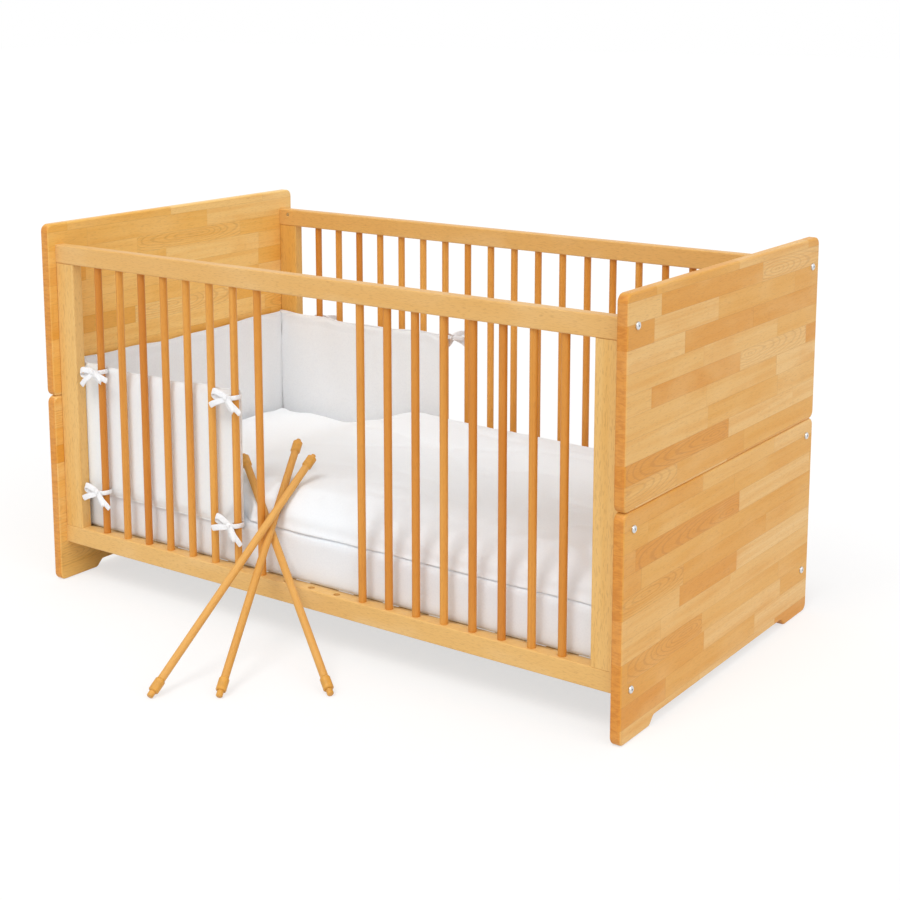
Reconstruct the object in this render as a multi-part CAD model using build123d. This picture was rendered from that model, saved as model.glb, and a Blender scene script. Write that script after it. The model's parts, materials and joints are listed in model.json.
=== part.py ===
"""Baby crib in oiled beech: two-part end panels, barred sides, slatted base and white bedding.

Three sprung rungs are taken out of the front side and lean through the gap they leave.
X runs along the crib towards its foot end, -Y is the front, and Z is up from the floor.
"""
import math
import os

from build123d import *

# Clear space inside, between the end panels and between the side frames
CLEAR_LENGTH = 1416.0
CLEAR_WIDTH = 714.0

# End panels, each an upper board standing on a lower one
PANEL_THICKNESS = 22.0
PANEL_LIP = 21.5
PANEL_RISE = 45.5
PANEL_SEAM_HEIGHT = 426.0
PANEL_CORNER_RADIUS = 16.0
PANEL_EDGE_RADIUS = 5.0
FOOT_LENGTH = 110.0
ARCH_RISE = 16.0
ARCH_RUN = 16.0
ARCH_RADIUS = 9.0
PANEL_DOWEL_DIAMETER = 10.0
PANEL_DOWEL_LENGTH = 50.0
PANEL_DOWEL_SPREAD = 290.0

# Side frames: two rails with a stile between them at each end
FRAME_THICKNESS = 26.0
RAIL_HEIGHT = 41.0
RAIL_EDGE_RADIUS = 3.0
BOTTOM_RAIL_LIFT = 86.5
STILE_WIDTH = 53.0
FRAME_DOWEL_DIAMETER = 8.0
FRAME_DOWEL_LENGTH = 40.0
FRAME_DOWEL_SPREAD = 13.0

# Upright bars, with the middle ones of the front side made to come out
BAR_DIAMETER = 16.0
BAR_SPAN = 596.0
BAR_COUNT = 19
SLIP_COUNT = 3
BAR_SEAT_DEPTH = 12.0

# Connector bolts through the end panels, with barrel nuts in the side frames
BOLT_DIAMETER = 6.0
BOLT_HEAD_DIAMETER = 14.5
BOLT_HEAD_HEIGHT = 4.0
BOLT_HEAD_ROUNDING = 2.6
BOLT_SOCKET_RADIUS = 2.3
BOLT_SOCKET_DEPTH = 2.2
BOLT_TIP_REACH = 8.0
TOP_BOLT_DROP = 13.0
MIDDLE_BOLT_DROP = 33.0
BOTTOM_BOLT_LIFT = 12.5
BARREL_NUT_DIAMETER = 10.0
BARREL_NUT_LENGTH = 20.0
BARREL_NUT_RECESS = 1.0
BARREL_NUT_INSET = 28.0
BARREL_NUT_SLOT = 1.4

# Slatted base, bolted to threaded inserts at one of three heights
BASE_DROP = 5.5
BASE_RAIL_HEIGHT = 32.0
BASE_RAIL_THICKNESS = 22.0
BASE_SIDE_PLAY = 4.0
BASE_END_PLAY = 0.5
SLAT_COUNT = 13
SLAT_WIDTH = 58.0
SLAT_THICKNESS = 10.0
BEAM_LIP_THICKNESS = 12.0
BASE_BOLT_SPREAD = 240.0
HEIGHT_COUNT = 3
HEIGHT_STEP = 95.0
INSERT_DIAMETER = 10.0
INSERT_LENGTH = 13.0

# Mattress and quilt
MATTRESS_THICKNESS = 104.0
MATTRESS_END_GAP = 10.0
MATTRESS_SIDE_GAP = 9.0
MATTRESS_EDGE_RADIUS = 14.0
MATTRESS_CORNER_RADIUS = 30.0
QUILT_THICKNESS = 64.0
QUILT_CROWN = 14.0
QUILT_SETBACK = 12.0
QUILT_DRAW = 8.0
QUILT_CORNER_RADIUS = 70.0
QUILT_TOP_RADIUS = 38.0
QUILT_HEM_RADIUS = 6.0
QUILT_DENT = 4.0

# Padded bumper round the head end, tied to the bars with ribbon bows
BUMPER_HEIGHT = 298.0
BUMPER_TUCK = 21.0
BUMPER_EDGE = 5.0
BUMPER_CROWN = 12.0
BUMPER_FRONT_LENGTH = 510.0
BUMPER_BACK_LENGTH = 530.0
TIE_WIDTH = 9.0
TIE_THICKNESS = 1.2
TIE_DROP = 13.0
BOW_LOOP_LENGTH = 22.0
BOW_LOOP_HEIGHT = 12.0
BOW_TAIL_LENGTH = 34.0
BOW_KNOT = 9.0
BOW_DEPTH = 5.0
BOW_TILT = 24.0
BOW_TAIL_SPLAY = 54.0

# Sprung rungs that fill the slip-through gap
RUNG_PLAY = 1.0
FERRULE_DIAMETER = 20.5
FERRULE_LENGTH = 28.0
FERRULE_SHOULDER = 3.5
FERRULE_ROUNDING = 1.6
FERRULE_FACE_WALL = 3.0
DOWEL_COVER = 8.0
PLUNGER_DIAMETER = 13.0
PLUNGER_REACH = 12.0
PLUNGER_FLANGE = 2.5
PLUNGER_CHAMFER = 1.5
TOP_PIN_DIAMETER = 10.0
TOP_PIN_REACH = 7.0
PIN_CHAMFER = 1.2
SPRING_DIAMETER = 12.0
SPRING_WALL = 1.0

# Where the loose rungs stand: the foot's place across and out from the gap, in the pile's order
LOW_RUNG_FOOT = (180.0, 160.0)
MIDDLE_RUNG_FOOT = (14.0, 288.0)
TOP_RUNG_FOOT = (-92.0, 364.0)
MIDDLE_RUNG_PASS = 27.0
TOP_RUNG_PASS = 27.0
LOW_RUNG_REST = 13.0

# Clearances
GLUE_GAP = 0.1
HOLE_GAP = 0.3
SEAT_GAP = 0.5
SLIDE_GAP = 0.2
LEAN_GAP = 0.4
SOFT_GAP = 0.4
BUMPER_SEAM_GAP = 1.4

# Places that follow from the sizes above
PANEL_WIDTH = CLEAR_WIDTH + 2 * FRAME_THICKNESS + 2 * PANEL_LIP
TOP_RAIL_LIFT = BOTTOM_RAIL_LIFT + RAIL_HEIGHT + BAR_SPAN
PANEL_HEIGHT = TOP_RAIL_LIFT + RAIL_HEIGHT + PANEL_RISE
SIDE_Y = (CLEAR_WIDTH + FRAME_THICKNESS) / 2
INNER_X = CLEAR_LENGTH / 2
OUTER_X = INNER_X + PANEL_THICKNESS
PANEL_X = INNER_X + PANEL_THICKNESS / 2
STILE_X = INNER_X - STILE_WIDTH / 2
NUT_X = INNER_X - BARREL_NUT_INSET
BAR_RADIUS = BAR_DIAMETER / 2
BAR_PITCH = (CLEAR_LENGTH - 2 * STILE_WIDTH) / (BAR_COUNT + 1)
BAR_XS = [(i - (BAR_COUNT - 1) / 2) * BAR_PITCH for i in range(BAR_COUNT)]
FIRST_SLIP = (BAR_COUNT - SLIP_COUNT) // 2
HEAD_BAR_XS = BAR_XS[:FIRST_SLIP]
SLIP_XS = BAR_XS[FIRST_SLIP:FIRST_SLIP + SLIP_COUNT]
FOOT_BAR_XS = BAR_XS[FIRST_SLIP + SLIP_COUNT:]
BOLT_ZS = (
    BOTTOM_RAIL_LIFT + BOTTOM_BOLT_LIFT,
    PANEL_SEAM_HEIGHT - MIDDLE_BOLT_DROP,
    TOP_RAIL_LIFT + RAIL_HEIGHT - TOP_BOLT_DROP,
)
BASE_TOP = BOTTOM_RAIL_LIFT + RAIL_HEIGHT - BASE_DROP
BASE_RAIL_Z = BASE_TOP - SLAT_THICKNESS - BASE_RAIL_HEIGHT / 2
MATTRESS_BOTTOM = BASE_TOP + SOFT_GAP
MATTRESS_TOP = MATTRESS_BOTTOM + MATTRESS_THICKNESS
MATTRESS_LENGTH = CLEAR_LENGTH - 2 * MATTRESS_END_GAP
MATTRESS_WIDTH = CLEAR_WIDTH - 2 * MATTRESS_SIDE_GAP
BUMPER_BOTTOM = MATTRESS_TOP - BUMPER_TUCK
BUMPER_TOP = BUMPER_BOTTOM + BUMPER_HEIGHT
BUMPER_SIDE_Y = CLEAR_WIDTH / 2 - SOFT_GAP
BUMPER_HEAD_X = INNER_X - SOFT_GAP
BUMPER_DEPTH = BUMPER_EDGE + BUMPER_CROWN
RUNG_SHOULDERS = BAR_SPAN - RUNG_PLAY
RUNG_LENGTH = PLUNGER_REACH + RUNG_SHOULDERS + TOP_PIN_REACH
FERRULE_BORE = BAR_RADIUS + GLUE_GAP

parts = {}


def block(x, y, z):
    """Box between two limits on each axis."""
    size = Box(x[1] - x[0], y[1] - y[0], z[1] - z[0], align=(Align.MIN,) * 3)
    return Pos(x[0], y[0], z[0]) * size


def rod(radius, start, end):
    """Round rod from one point to another."""
    axis = Vector(*end) - Vector(*start)
    upright = Cylinder(radius, axis.length, align=(Align.CENTER, Align.CENTER, Align.MIN))
    return Plane(origin=start, z_dir=axis).location * upright


def turned(profile):
    """Solid turned about Z from (radius, height) points."""
    return revolve(Plane.XZ * make_face(Polyline(*profile, close=True)), Axis.Z)


def bolt(length):
    """Round-headed socket bolt: the head's underside is at the origin, the shank runs down."""
    head = Cylinder(BOLT_HEAD_DIAMETER / 2, BOLT_HEAD_HEIGHT, align=(Align.CENTER, Align.CENTER, Align.MIN))
    head = fillet(head.edges().group_by(Axis.Z)[-1], BOLT_HEAD_ROUNDING)
    socket = extrude(RegularPolygon(BOLT_SOCKET_RADIUS, 6), amount=BOLT_SOCKET_DEPTH)
    shank = rod(BOLT_DIAMETER / 2, (0, 0, 0), (0, 0, -length))
    return head + shank - Pos(0, 0, BOLT_HEAD_HEIGHT - BOLT_SOCKET_DEPTH) * socket


# End panels
def panel_outline(points, radii):
    """Closed outline in the panel's own plane, with a radius at each corner."""
    outline = make_face(Polyline(*points, close=True))
    for point, radius in zip(points, radii):
        corner = outline.vertices().sort_by_distance((*point, 0))[0]
        outline = fillet(corner, radius)
    return outline


def panel_board(outline, end):
    """Board of an end panel with rounded edges, standing at the head (-1) or the foot (1)."""
    flat = Plane.YZ.offset(end * PANEL_X - PANEL_THICKNESS / 2) * outline
    board = extrude(flat, amount=PANEL_THICKNESS)
    faces = board.edges().group_by(Axis.X)
    return fillet(faces[0] + faces[-1], PANEL_EDGE_RADIUS)


def bolt_holes(end, heights):
    """Clearance holes through an end panel for its connector bolts."""
    radius = BOLT_DIAMETER / 2 + HOLE_GAP
    outside = end * (OUTER_X + 1)
    inside = end * (INNER_X - 1)
    return [rod(radius, (inside, y, z), (outside, y, z)) for y in (-SIDE_Y, SIDE_Y) for z in heights]


def panel_dowel_rods(end, radius, length):
    """Upright rods across the seam between the two boards of an end panel."""
    low = PANEL_SEAM_HEIGHT - length / 2
    high = PANEL_SEAM_HEIGHT + length / 2
    places = (-PANEL_DOWEL_SPREAD, 0, PANEL_DOWEL_SPREAD)
    return [rod(radius, (end * PANEL_X, y, low), (end * PANEL_X, y, high)) for y in places]


def insert_places():
    """Places of the threaded inserts for the base on an end panel's inner face."""
    heights = [BASE_RAIL_Z + i * HEIGHT_STEP for i in range(HEIGHT_COUNT)]
    return [(y, z) for y in (-BASE_BOLT_SPREAD, BASE_BOLT_SPREAD) for z in heights]


def insert_rods(end, radius, length):
    """Rods into an end panel from its inner face, at the insert places."""
    face = end * INNER_X
    return [rod(radius, (face, y, z), (face + end * length, y, z)) for y, z in insert_places()]


HALF = PANEL_WIDTH / 2
FOOT_END = HALF - FOOT_LENGTH
UPPER_POINTS = [
    (-HALF, PANEL_SEAM_HEIGHT),
    (HALF, PANEL_SEAM_HEIGHT),
    (HALF, PANEL_HEIGHT),
    (-HALF, PANEL_HEIGHT),
]
LOWER_POINTS = [
    (-HALF, 0),
    (-FOOT_END, 0),
    (-FOOT_END + ARCH_RUN, ARCH_RISE),
    (FOOT_END - ARCH_RUN, ARCH_RISE),
    (FOOT_END, 0),
    (HALF, 0),
    (HALF, PANEL_SEAM_HEIGHT),
    (-HALF, PANEL_SEAM_HEIGHT),
]
LOWER_RADII = [PANEL_CORNER_RADIUS] + [ARCH_RADIUS] * 4 + [PANEL_CORNER_RADIUS] * 3

for end_name, end in (("head", -1), ("foot", 1)):
    dowel_holes = panel_dowel_rods(
        end, PANEL_DOWEL_DIAMETER / 2 + GLUE_GAP, PANEL_DOWEL_LENGTH + 2 * SEAT_GAP
    )
    insert_holes = insert_rods(end, INSERT_DIAMETER / 2 + GLUE_GAP, INSERT_LENGTH + SEAT_GAP)
    upper = panel_board(panel_outline(UPPER_POINTS, [PANEL_CORNER_RADIUS] * 4), end)
    lower = panel_board(panel_outline(LOWER_POINTS, LOWER_RADII), end)
    parts[f"{end_name}_upper_panel"] = upper - bolt_holes(end, BOLT_ZS[2:]) - dowel_holes
    parts[f"{end_name}_lower_panel"] = lower - bolt_holes(end, BOLT_ZS[:2]) - dowel_holes - insert_holes
    parts[f"{end_name}_panel_dowels"] = Compound(
        panel_dowel_rods(end, PANEL_DOWEL_DIAMETER / 2, PANEL_DOWEL_LENGTH)
    )
    bores = insert_rods(end, BOLT_DIAMETER / 2 + SLIDE_GAP, INSERT_LENGTH)
    parts[f"{end_name}_height_inserts"] = Compound(
        [body - bore for body, bore in zip(insert_rods(end, INSERT_DIAMETER / 2, INSERT_LENGTH), bores)]
    )


# Side frames
def frame_dowel_rods(side, radius, length):
    """Upright rods across the four joints between stiles and rails of a side frame."""
    seams = (BOTTOM_RAIL_LIFT + RAIL_HEIGHT, TOP_RAIL_LIFT)
    rods = []
    for end in (-1, 1):
        for offset in (-FRAME_DOWEL_SPREAD, FRAME_DOWEL_SPREAD):
            for seam in seams:
                x = end * STILE_X + offset
                low = (x, side * SIDE_Y, seam - length / 2)
                high = (x, side * SIDE_Y, seam + length / 2)
                rods.append(rod(radius, low, high))
    return rods


def nut_rods(side, end, radius, length):
    """Rods into a side frame from its inner face, where the barrel nuts of one end sit."""
    mouth = side * CLEAR_WIDTH / 2
    return [
        rod(radius, (end * NUT_X, mouth, z), (end * NUT_X, mouth + side * length, z)) for z in BOLT_ZS
    ]


def fastener_holes(side):
    """Bolt, barrel nut and dowel holes of a side frame."""
    depth = BARREL_NUT_RECESS + BARREL_NUT_LENGTH + SEAT_GAP
    tip = NUT_X - BOLT_TIP_REACH - SEAT_GAP
    holes = frame_dowel_rods(side, FRAME_DOWEL_DIAMETER / 2 + GLUE_GAP, FRAME_DOWEL_LENGTH + 2 * SEAT_GAP)
    for end in (-1, 1):
        holes += nut_rods(side, end, BARREL_NUT_DIAMETER / 2 + GLUE_GAP, depth)
        for z in BOLT_ZS:
            mouth = (end * INNER_X, side * SIDE_Y, z)
            holes.append(rod(BOLT_DIAMETER / 2 + HOLE_GAP, mouth, (end * tip, side * SIDE_Y, z)))
    return holes


def frame_piece(x, z, side, run):
    """Rail or stile of a side frame, with its long edges rounded."""
    y_mid = side * SIDE_Y
    half = FRAME_THICKNESS / 2
    piece = block(x, (y_mid - half, y_mid + half), z)
    return fillet(piece.edges().filter_by(run), RAIL_EDGE_RADIUS)


def upright_rods(xs, side, radius, low, high):
    """Upright rods in a side frame's middle plane."""
    return [rod(radius, (x, side * SIDE_Y, low), (x, side * SIDE_Y, high)) for x in xs]


RAIL_X = (-INNER_X, INNER_X)
BOTTOM_SEAT = BOTTOM_RAIL_LIFT + RAIL_HEIGHT
for side_name, side, bar_xs, slip_xs in (
    ("front", -1, HEAD_BAR_XS + FOOT_BAR_XS, SLIP_XS),
    ("back", 1, BAR_XS, []),
):
    holes = fastener_holes(side)
    seat = BAR_RADIUS + GLUE_GAP
    holes += upright_rods(bar_xs, side, seat, BOTTOM_SEAT - BAR_SEAT_DEPTH, TOP_RAIL_LIFT + BAR_SEAT_DEPTH)
    plunger_hole = PLUNGER_DIAMETER / 2 + SEAT_GAP
    holes += upright_rods(slip_xs, side, plunger_hole, BOTTOM_SEAT - PLUNGER_REACH - SEAT_GAP, BOTTOM_SEAT)
    pin_hole = TOP_PIN_DIAMETER / 2 + SEAT_GAP
    holes += upright_rods(slip_xs, side, pin_hole, TOP_RAIL_LIFT, TOP_RAIL_LIFT + TOP_PIN_REACH + SEAT_GAP)
    rails = {"bottom": BOTTOM_RAIL_LIFT, "top": TOP_RAIL_LIFT}
    for level, lift in rails.items():
        rail = frame_piece(RAIL_X, (lift, lift + RAIL_HEIGHT), side, Axis.X)
        parts[f"{side_name}_{level}_rail"] = rail - holes
    for end_name, end in (("head", -1), ("foot", 1)):
        stile_x = sorted((end * INNER_X, end * (INNER_X - STILE_WIDTH)))
        stile = frame_piece(stile_x, (BOTTOM_SEAT, TOP_RAIL_LIFT), side, Axis.Z)
        parts[f"{side_name}_{end_name}_stile"] = stile - holes
    parts[f"{side_name}_frame_dowels"] = Compound(
        frame_dowel_rods(side, FRAME_DOWEL_DIAMETER / 2, FRAME_DOWEL_LENGTH)
    )

BAR_LOW = BOTTOM_SEAT - BAR_SEAT_DEPTH + SEAT_GAP
BAR_HIGH = TOP_RAIL_LIFT + BAR_SEAT_DEPTH - SEAT_GAP
parts["front_head_bars"] = Compound(upright_rods(HEAD_BAR_XS, -1, BAR_RADIUS, BAR_LOW, BAR_HIGH))
parts["front_foot_bars"] = Compound(upright_rods(FOOT_BAR_XS, -1, BAR_RADIUS, BAR_LOW, BAR_HIGH))
parts["back_bars"] = Compound(upright_rods(BAR_XS, 1, BAR_RADIUS, BAR_LOW, BAR_HIGH))


# Connector bolts and barrel nuts
def barrel_nuts(side, end):
    """Slotted barrel nuts of one corner, each crossed by its bolt's thread."""
    inner = side * CLEAR_WIDTH / 2
    start = inner + side * BARREL_NUT_RECESS
    nuts = []
    for z in BOLT_ZS:
        bottom = start + side * BARREL_NUT_LENGTH
        body = rod(BARREL_NUT_DIAMETER / 2, (end * NUT_X, start, z), (end * NUT_X, bottom, z))
        reach = BARREL_NUT_DIAMETER
        thread = rod(
            BOLT_DIAMETER / 2 + GLUE_GAP,
            (end * NUT_X - reach, side * SIDE_Y, z),
            (end * NUT_X + reach, side * SIDE_Y, z),
        )
        slot = Pos(end * NUT_X, start, z) * Box(2 * reach, 2 * BARREL_NUT_SLOT, BARREL_NUT_SLOT)
        nuts.append(body - thread - slot)
    return nuts


BOLT_LENGTH = PANEL_THICKNESS + BARREL_NUT_INSET + BOLT_TIP_REACH
for end_name, end in (("head", -1), ("foot", 1)):
    seats = [(end * OUTER_X, y, z) for y in (-SIDE_Y, SIDE_Y) for z in BOLT_ZS]
    parts[f"{end_name}_bolts"] = Compound(
        [Plane(origin=seat, z_dir=(end, 0, 0)).location * bolt(BOLT_LENGTH) for seat in seats]
    )
    parts[f"{end_name}_barrel_nuts"] = Compound(barrel_nuts(-1, end) + barrel_nuts(1, end))

# Slatted base
BASE_Y = CLEAR_WIDTH / 2 - BASE_SIDE_PLAY
BASE_X = INNER_X - BASE_END_PLAY
BASE_RAIL_RANGE = (BASE_RAIL_Z - BASE_RAIL_HEIGHT / 2, BASE_RAIL_Z + BASE_RAIL_HEIGHT / 2)
for side_name, side in (("front", -1), ("back", 1)):
    beam_y = sorted((side * BASE_Y, side * (BASE_Y - BASE_RAIL_THICKNESS)))
    lip_y = sorted((side * BASE_Y, side * (BASE_Y - BEAM_LIP_THICKNESS)))
    beam = block((-BASE_X, BASE_X), beam_y, BASE_RAIL_RANGE)
    beam += block((-BASE_X, BASE_X), lip_y, (BASE_RAIL_RANGE[1], BASE_TOP))
    parts[f"base_{side_name}_beam"] = beam
for end_name, end in (("head", -1), ("foot", 1)):
    rail_x = sorted((end * BASE_X, end * (BASE_X - BASE_RAIL_THICKNESS)))
    inner_y = BASE_Y - BASE_RAIL_THICKNESS
    rail = block(rail_x, (-inner_y, inner_y), BASE_RAIL_RANGE)
    head_face = BASE_X - BASE_RAIL_THICKNESS
    bolt_reach = BASE_RAIL_THICKNESS + BASE_END_PLAY + INSERT_LENGTH - SEAT_GAP
    for y in (-BASE_BOLT_SPREAD, BASE_BOLT_SPREAD):
        rail -= rod(
            BOLT_DIAMETER / 2 + HOLE_GAP, (end * head_face, y, BASE_RAIL_Z), (end * BASE_X, y, BASE_RAIL_Z)
        )
    parts[f"base_{end_name}_rail"] = rail
    parts[f"base_{end_name}_bolts"] = Compound(
        [
            Plane(origin=(end * head_face, y, BASE_RAIL_Z), z_dir=(-end, 0, 0)).location * bolt(bolt_reach)
            for y in (-BASE_BOLT_SPREAD, BASE_BOLT_SPREAD)
        ]
    )

SLAT_PITCH = (2 * BASE_X - SLAT_WIDTH) / (SLAT_COUNT - 1)
SLAT_STARTS = [-BASE_X + i * SLAT_PITCH for i in range(SLAT_COUNT)]
SLAT_Z = (BASE_TOP - SLAT_THICKNESS, BASE_TOP)
SLAT_END = BASE_Y - BEAM_LIP_THICKNESS - SEAT_GAP
parts["base_slats"] = Compound([block((x, x + SLAT_WIDTH), (-SLAT_END, SLAT_END), SLAT_Z) for x in SLAT_STARTS])


# Loose rungs: each leans on the one below, and the lowest on the mattress and a fixed bar
def lean_direction(heading, lean):
    """Unit vector that tilts from upright by lean towards a heading, both in radians."""
    return Vector(
        math.cos(heading) * math.sin(lean), math.sin(heading) * math.sin(lean), math.cos(lean)
    )


def foot_rise(lean):
    """Height of the rung's tip centre when its chamfered end touches the floor."""
    radius = PLUNGER_DIAMETER / 2
    rim = radius * math.sin(lean) - PLUNGER_CHAMFER * math.cos(lean)
    return max(rim, (radius - PLUNGER_CHAMFER) * math.sin(lean))


def rung_line(foot, heading, lean):
    """Tip and direction of a rung that stands on the floor at a foot point."""
    return Vector(foot[0], foot[1], foot_rise(lean)), lean_direction(heading, lean)


def clearance_above(upper, lower):
    """Distance by which one rung's axis passes above another's."""
    across = lower[1].cross(upper[1]).normalized()
    across = across if across.Z > 0 else across * -1
    return (upper[0] - lower[0]).dot(across)


def find_lean(too_upright):
    """Lean angle at which a condition stops holding, between nearly upright and nearly flat."""
    low, high = math.radians(20), math.radians(85)
    for _ in range(50):
        middle = (low + high) / 2
        low, high = (middle, high) if too_upright(middle) else (low, middle)
    return low


def floor_point(foot):
    """Floor point of a rung's foot from its place across and out from the front side."""
    return foot[0], -SIDE_Y - foot[1]


STOP_BAR_X = HEAD_BAR_XS[-1]
MATTRESS_FRONT = -MATTRESS_WIDTH / 2


def low_rung_line():
    """The lowest rung: it slips behind the last fixed bar and rests over the mattress edge."""
    foot = floor_point(LOW_RUNG_FOOT)
    to_bar = Vector(STOP_BAR_X - foot[0], -SIDE_Y - foot[1], 0)
    tangent = math.asin((BAR_DIAMETER + LEAN_GAP) / to_bar.length)
    heading = math.atan2(to_bar.Y, to_bar.X) - tangent
    run = (MATTRESS_FRONT - foot[1]) / math.sin(heading)
    rest = MATTRESS_TOP + LOW_RUNG_REST
    return rung_line(foot, heading, find_lean(lambda lean: foot_rise(lean) + run / math.tan(lean) > rest))


def crossing_rung_line(foot, passing, lower):
    """A rung that passes beside the last fixed bar and lies on the rung below it."""
    foot = floor_point(foot)
    heading = math.atan2(-SIDE_Y - foot[1], STOP_BAR_X + passing - foot[0])
    stacked = BAR_DIAMETER + LEAN_GAP
    lean = find_lean(lambda angle: clearance_above(rung_line(foot, heading, angle), lower) > stacked)
    return rung_line(foot, heading, lean)


LOW_LINE = low_rung_line()
MIDDLE_LINE = crossing_rung_line(MIDDLE_RUNG_FOOT, MIDDLE_RUNG_PASS, LOW_LINE)
TOP_LINE = crossing_rung_line(TOP_RUNG_FOOT, TOP_RUNG_PASS, MIDDLE_LINE)
RUNG_LINES = {"low": LOW_LINE, "middle": MIDDLE_LINE, "top": TOP_LINE}

FERRULE_RADIUS = FERRULE_DIAMETER / 2
SLEEVE_START = PLUNGER_REACH
SLEEVE_END = SLEEVE_START + FERRULE_LENGTH
DOWEL_START = SLEEVE_END - DOWEL_COVER
CAP_END = PLUNGER_REACH + RUNG_SHOULDERS
CAP_START = CAP_END - FERRULE_LENGTH
DOWEL_END = CAP_START + DOWEL_COVER
FLANGE_START = SLEEVE_START + FERRULE_FACE_WALL + SLIDE_GAP


def rung_pieces():
    """Pieces of one rung along Z, from the plunger's tip at the origin to the fixed pin."""
    plunger_radius = PLUNGER_DIAMETER / 2
    sleeve = turned(
        [
            (plunger_radius + SLIDE_GAP, SLEEVE_START),
            (FERRULE_RADIUS - FERRULE_ROUNDING, SLEEVE_START),
            (FERRULE_RADIUS, SLEEVE_START + FERRULE_ROUNDING),
            (FERRULE_RADIUS, SLEEVE_END - FERRULE_SHOULDER),
            (FERRULE_BORE + GLUE_GAP, SLEEVE_END),
            (FERRULE_BORE, SLEEVE_END),
            (FERRULE_BORE, SLEEVE_START + FERRULE_FACE_WALL),
            (plunger_radius + SLIDE_GAP, SLEEVE_START + FERRULE_FACE_WALL),
        ]
    )
    plunger = turned(
        [
            (0, 0),
            (plunger_radius - PLUNGER_CHAMFER, 0),
            (plunger_radius, PLUNGER_CHAMFER),
            (plunger_radius, FLANGE_START),
            (FERRULE_BORE - SLIDE_GAP, FLANGE_START),
            (FERRULE_BORE - SLIDE_GAP, FLANGE_START + PLUNGER_FLANGE),
            (0, FLANGE_START + PLUNGER_FLANGE),
        ]
    )
    spring_low = FLANGE_START + PLUNGER_FLANGE + SLIDE_GAP
    spring_high = DOWEL_START - SLIDE_GAP
    spring = rod(SPRING_DIAMETER / 2, (0, 0, spring_low), (0, 0, spring_high))
    spring -= rod(SPRING_DIAMETER / 2 - SPRING_WALL, (0, 0, spring_low), (0, 0, spring_high))
    dowel = rod(BAR_RADIUS, (0, 0, DOWEL_START), (0, 0, DOWEL_END - SEAT_GAP))
    pin_radius = TOP_PIN_DIAMETER / 2
    cap = turned(
        [
            (0, DOWEL_END),
            (FERRULE_BORE, DOWEL_END),
            (FERRULE_BORE, CAP_START),
            (FERRULE_BORE + GLUE_GAP, CAP_START),
            (FERRULE_RADIUS, CAP_START + FERRULE_SHOULDER),
            (FERRULE_RADIUS, CAP_END - FERRULE_ROUNDING),
            (FERRULE_RADIUS - FERRULE_ROUNDING, CAP_END),
            (pin_radius, CAP_END),
            (pin_radius, RUNG_LENGTH - PIN_CHAMFER),
            (pin_radius - PIN_CHAMFER, RUNG_LENGTH),
            (0, RUNG_LENGTH),
        ]
    )
    return {"dowel": dowel, "sleeve": sleeve, "plunger": plunger, "spring": spring, "end_cap": cap}


for rung_name, (tip, direction) in RUNG_LINES.items():
    standing = Plane(origin=tip, z_dir=direction).location
    for piece_name, piece in rung_pieces().items():
        parts[f"{rung_name}_rung_{piece_name}"] = standing * piece


# Mattress, quilt and bumper
def drawn_outline(x, y, draw, radius):
    """Rectangle whose sides pull in between rounded corners."""
    middle_x, middle_y = sum(x) / 2, sum(y) / 2
    outline = make_face(
        [
            ThreePointArc((x[0], y[0]), (middle_x, y[0] + draw), (x[1], y[0])),
            ThreePointArc((x[1], y[0]), (x[1] - draw, middle_y), (x[1], y[1])),
            ThreePointArc((x[1], y[1]), (middle_x, y[1] - draw), (x[0], y[1])),
            ThreePointArc((x[0], y[1]), (x[0] + draw, middle_y), (x[0], y[0])),
        ]
    )
    return fillet(outline.vertices(), radius)


def mattress():
    """Foam mattress with softened edges."""
    half_x, half_y = MATTRESS_LENGTH / 2, MATTRESS_WIDTH / 2
    plan = RectangleRounded(2 * half_x, 2 * half_y, MATTRESS_CORNER_RADIUS)
    body = extrude(Pos(0, 0, MATTRESS_BOTTOM) * plan, amount=MATTRESS_THICKNESS)
    levels = body.edges().group_by(Axis.Z)
    return fillet(levels[0] + levels[-1], MATTRESS_EDGE_RADIUS)


def quilt():
    """Crowned quilt with drawn-in sides, dented where the loose rungs lie over its front edge."""
    low = MATTRESS_TOP + SOFT_GAP
    x = (-BUMPER_HEAD_X + BUMPER_DEPTH + SOFT_GAP, MATTRESS_LENGTH / 2)
    y = (MATTRESS_FRONT + QUILT_SETBACK, BUMPER_SIDE_Y - BUMPER_DEPTH - SOFT_GAP)
    plan = drawn_outline(x, y, QUILT_DRAW, QUILT_CORNER_RADIUS)
    body = extrude(Pos(0, 0, low) * plan, amount=QUILT_THICKNESS)
    shoulder = low + QUILT_THICKNESS - QUILT_CROWN
    section = make_face(
        [
            Line((y[0], low), (y[1], low)),
            Line((y[1], low), (y[1], shoulder)),
            ThreePointArc((y[1], shoulder), (sum(y) / 2, low + QUILT_THICKNESS), (y[0], shoulder)),
            Line((y[0], shoulder), (y[0], low)),
        ]
    )
    body &= extrude(Plane.YZ.offset(x[0]) * section, amount=x[1] - x[0])
    top = body.faces().sort_by(Axis.Z)[-1]
    body = fillet(top.edges(), QUILT_TOP_RADIUS)
    body = fillet(body.faces().sort_by(Axis.Z)[0].edges(), QUILT_HEM_RADIUS)
    dent = BAR_RADIUS + QUILT_DENT
    return body - [rod(dent, tip, tip + direction * RUNG_LENGTH) for tip, direction in RUNG_LINES.values()]


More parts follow.
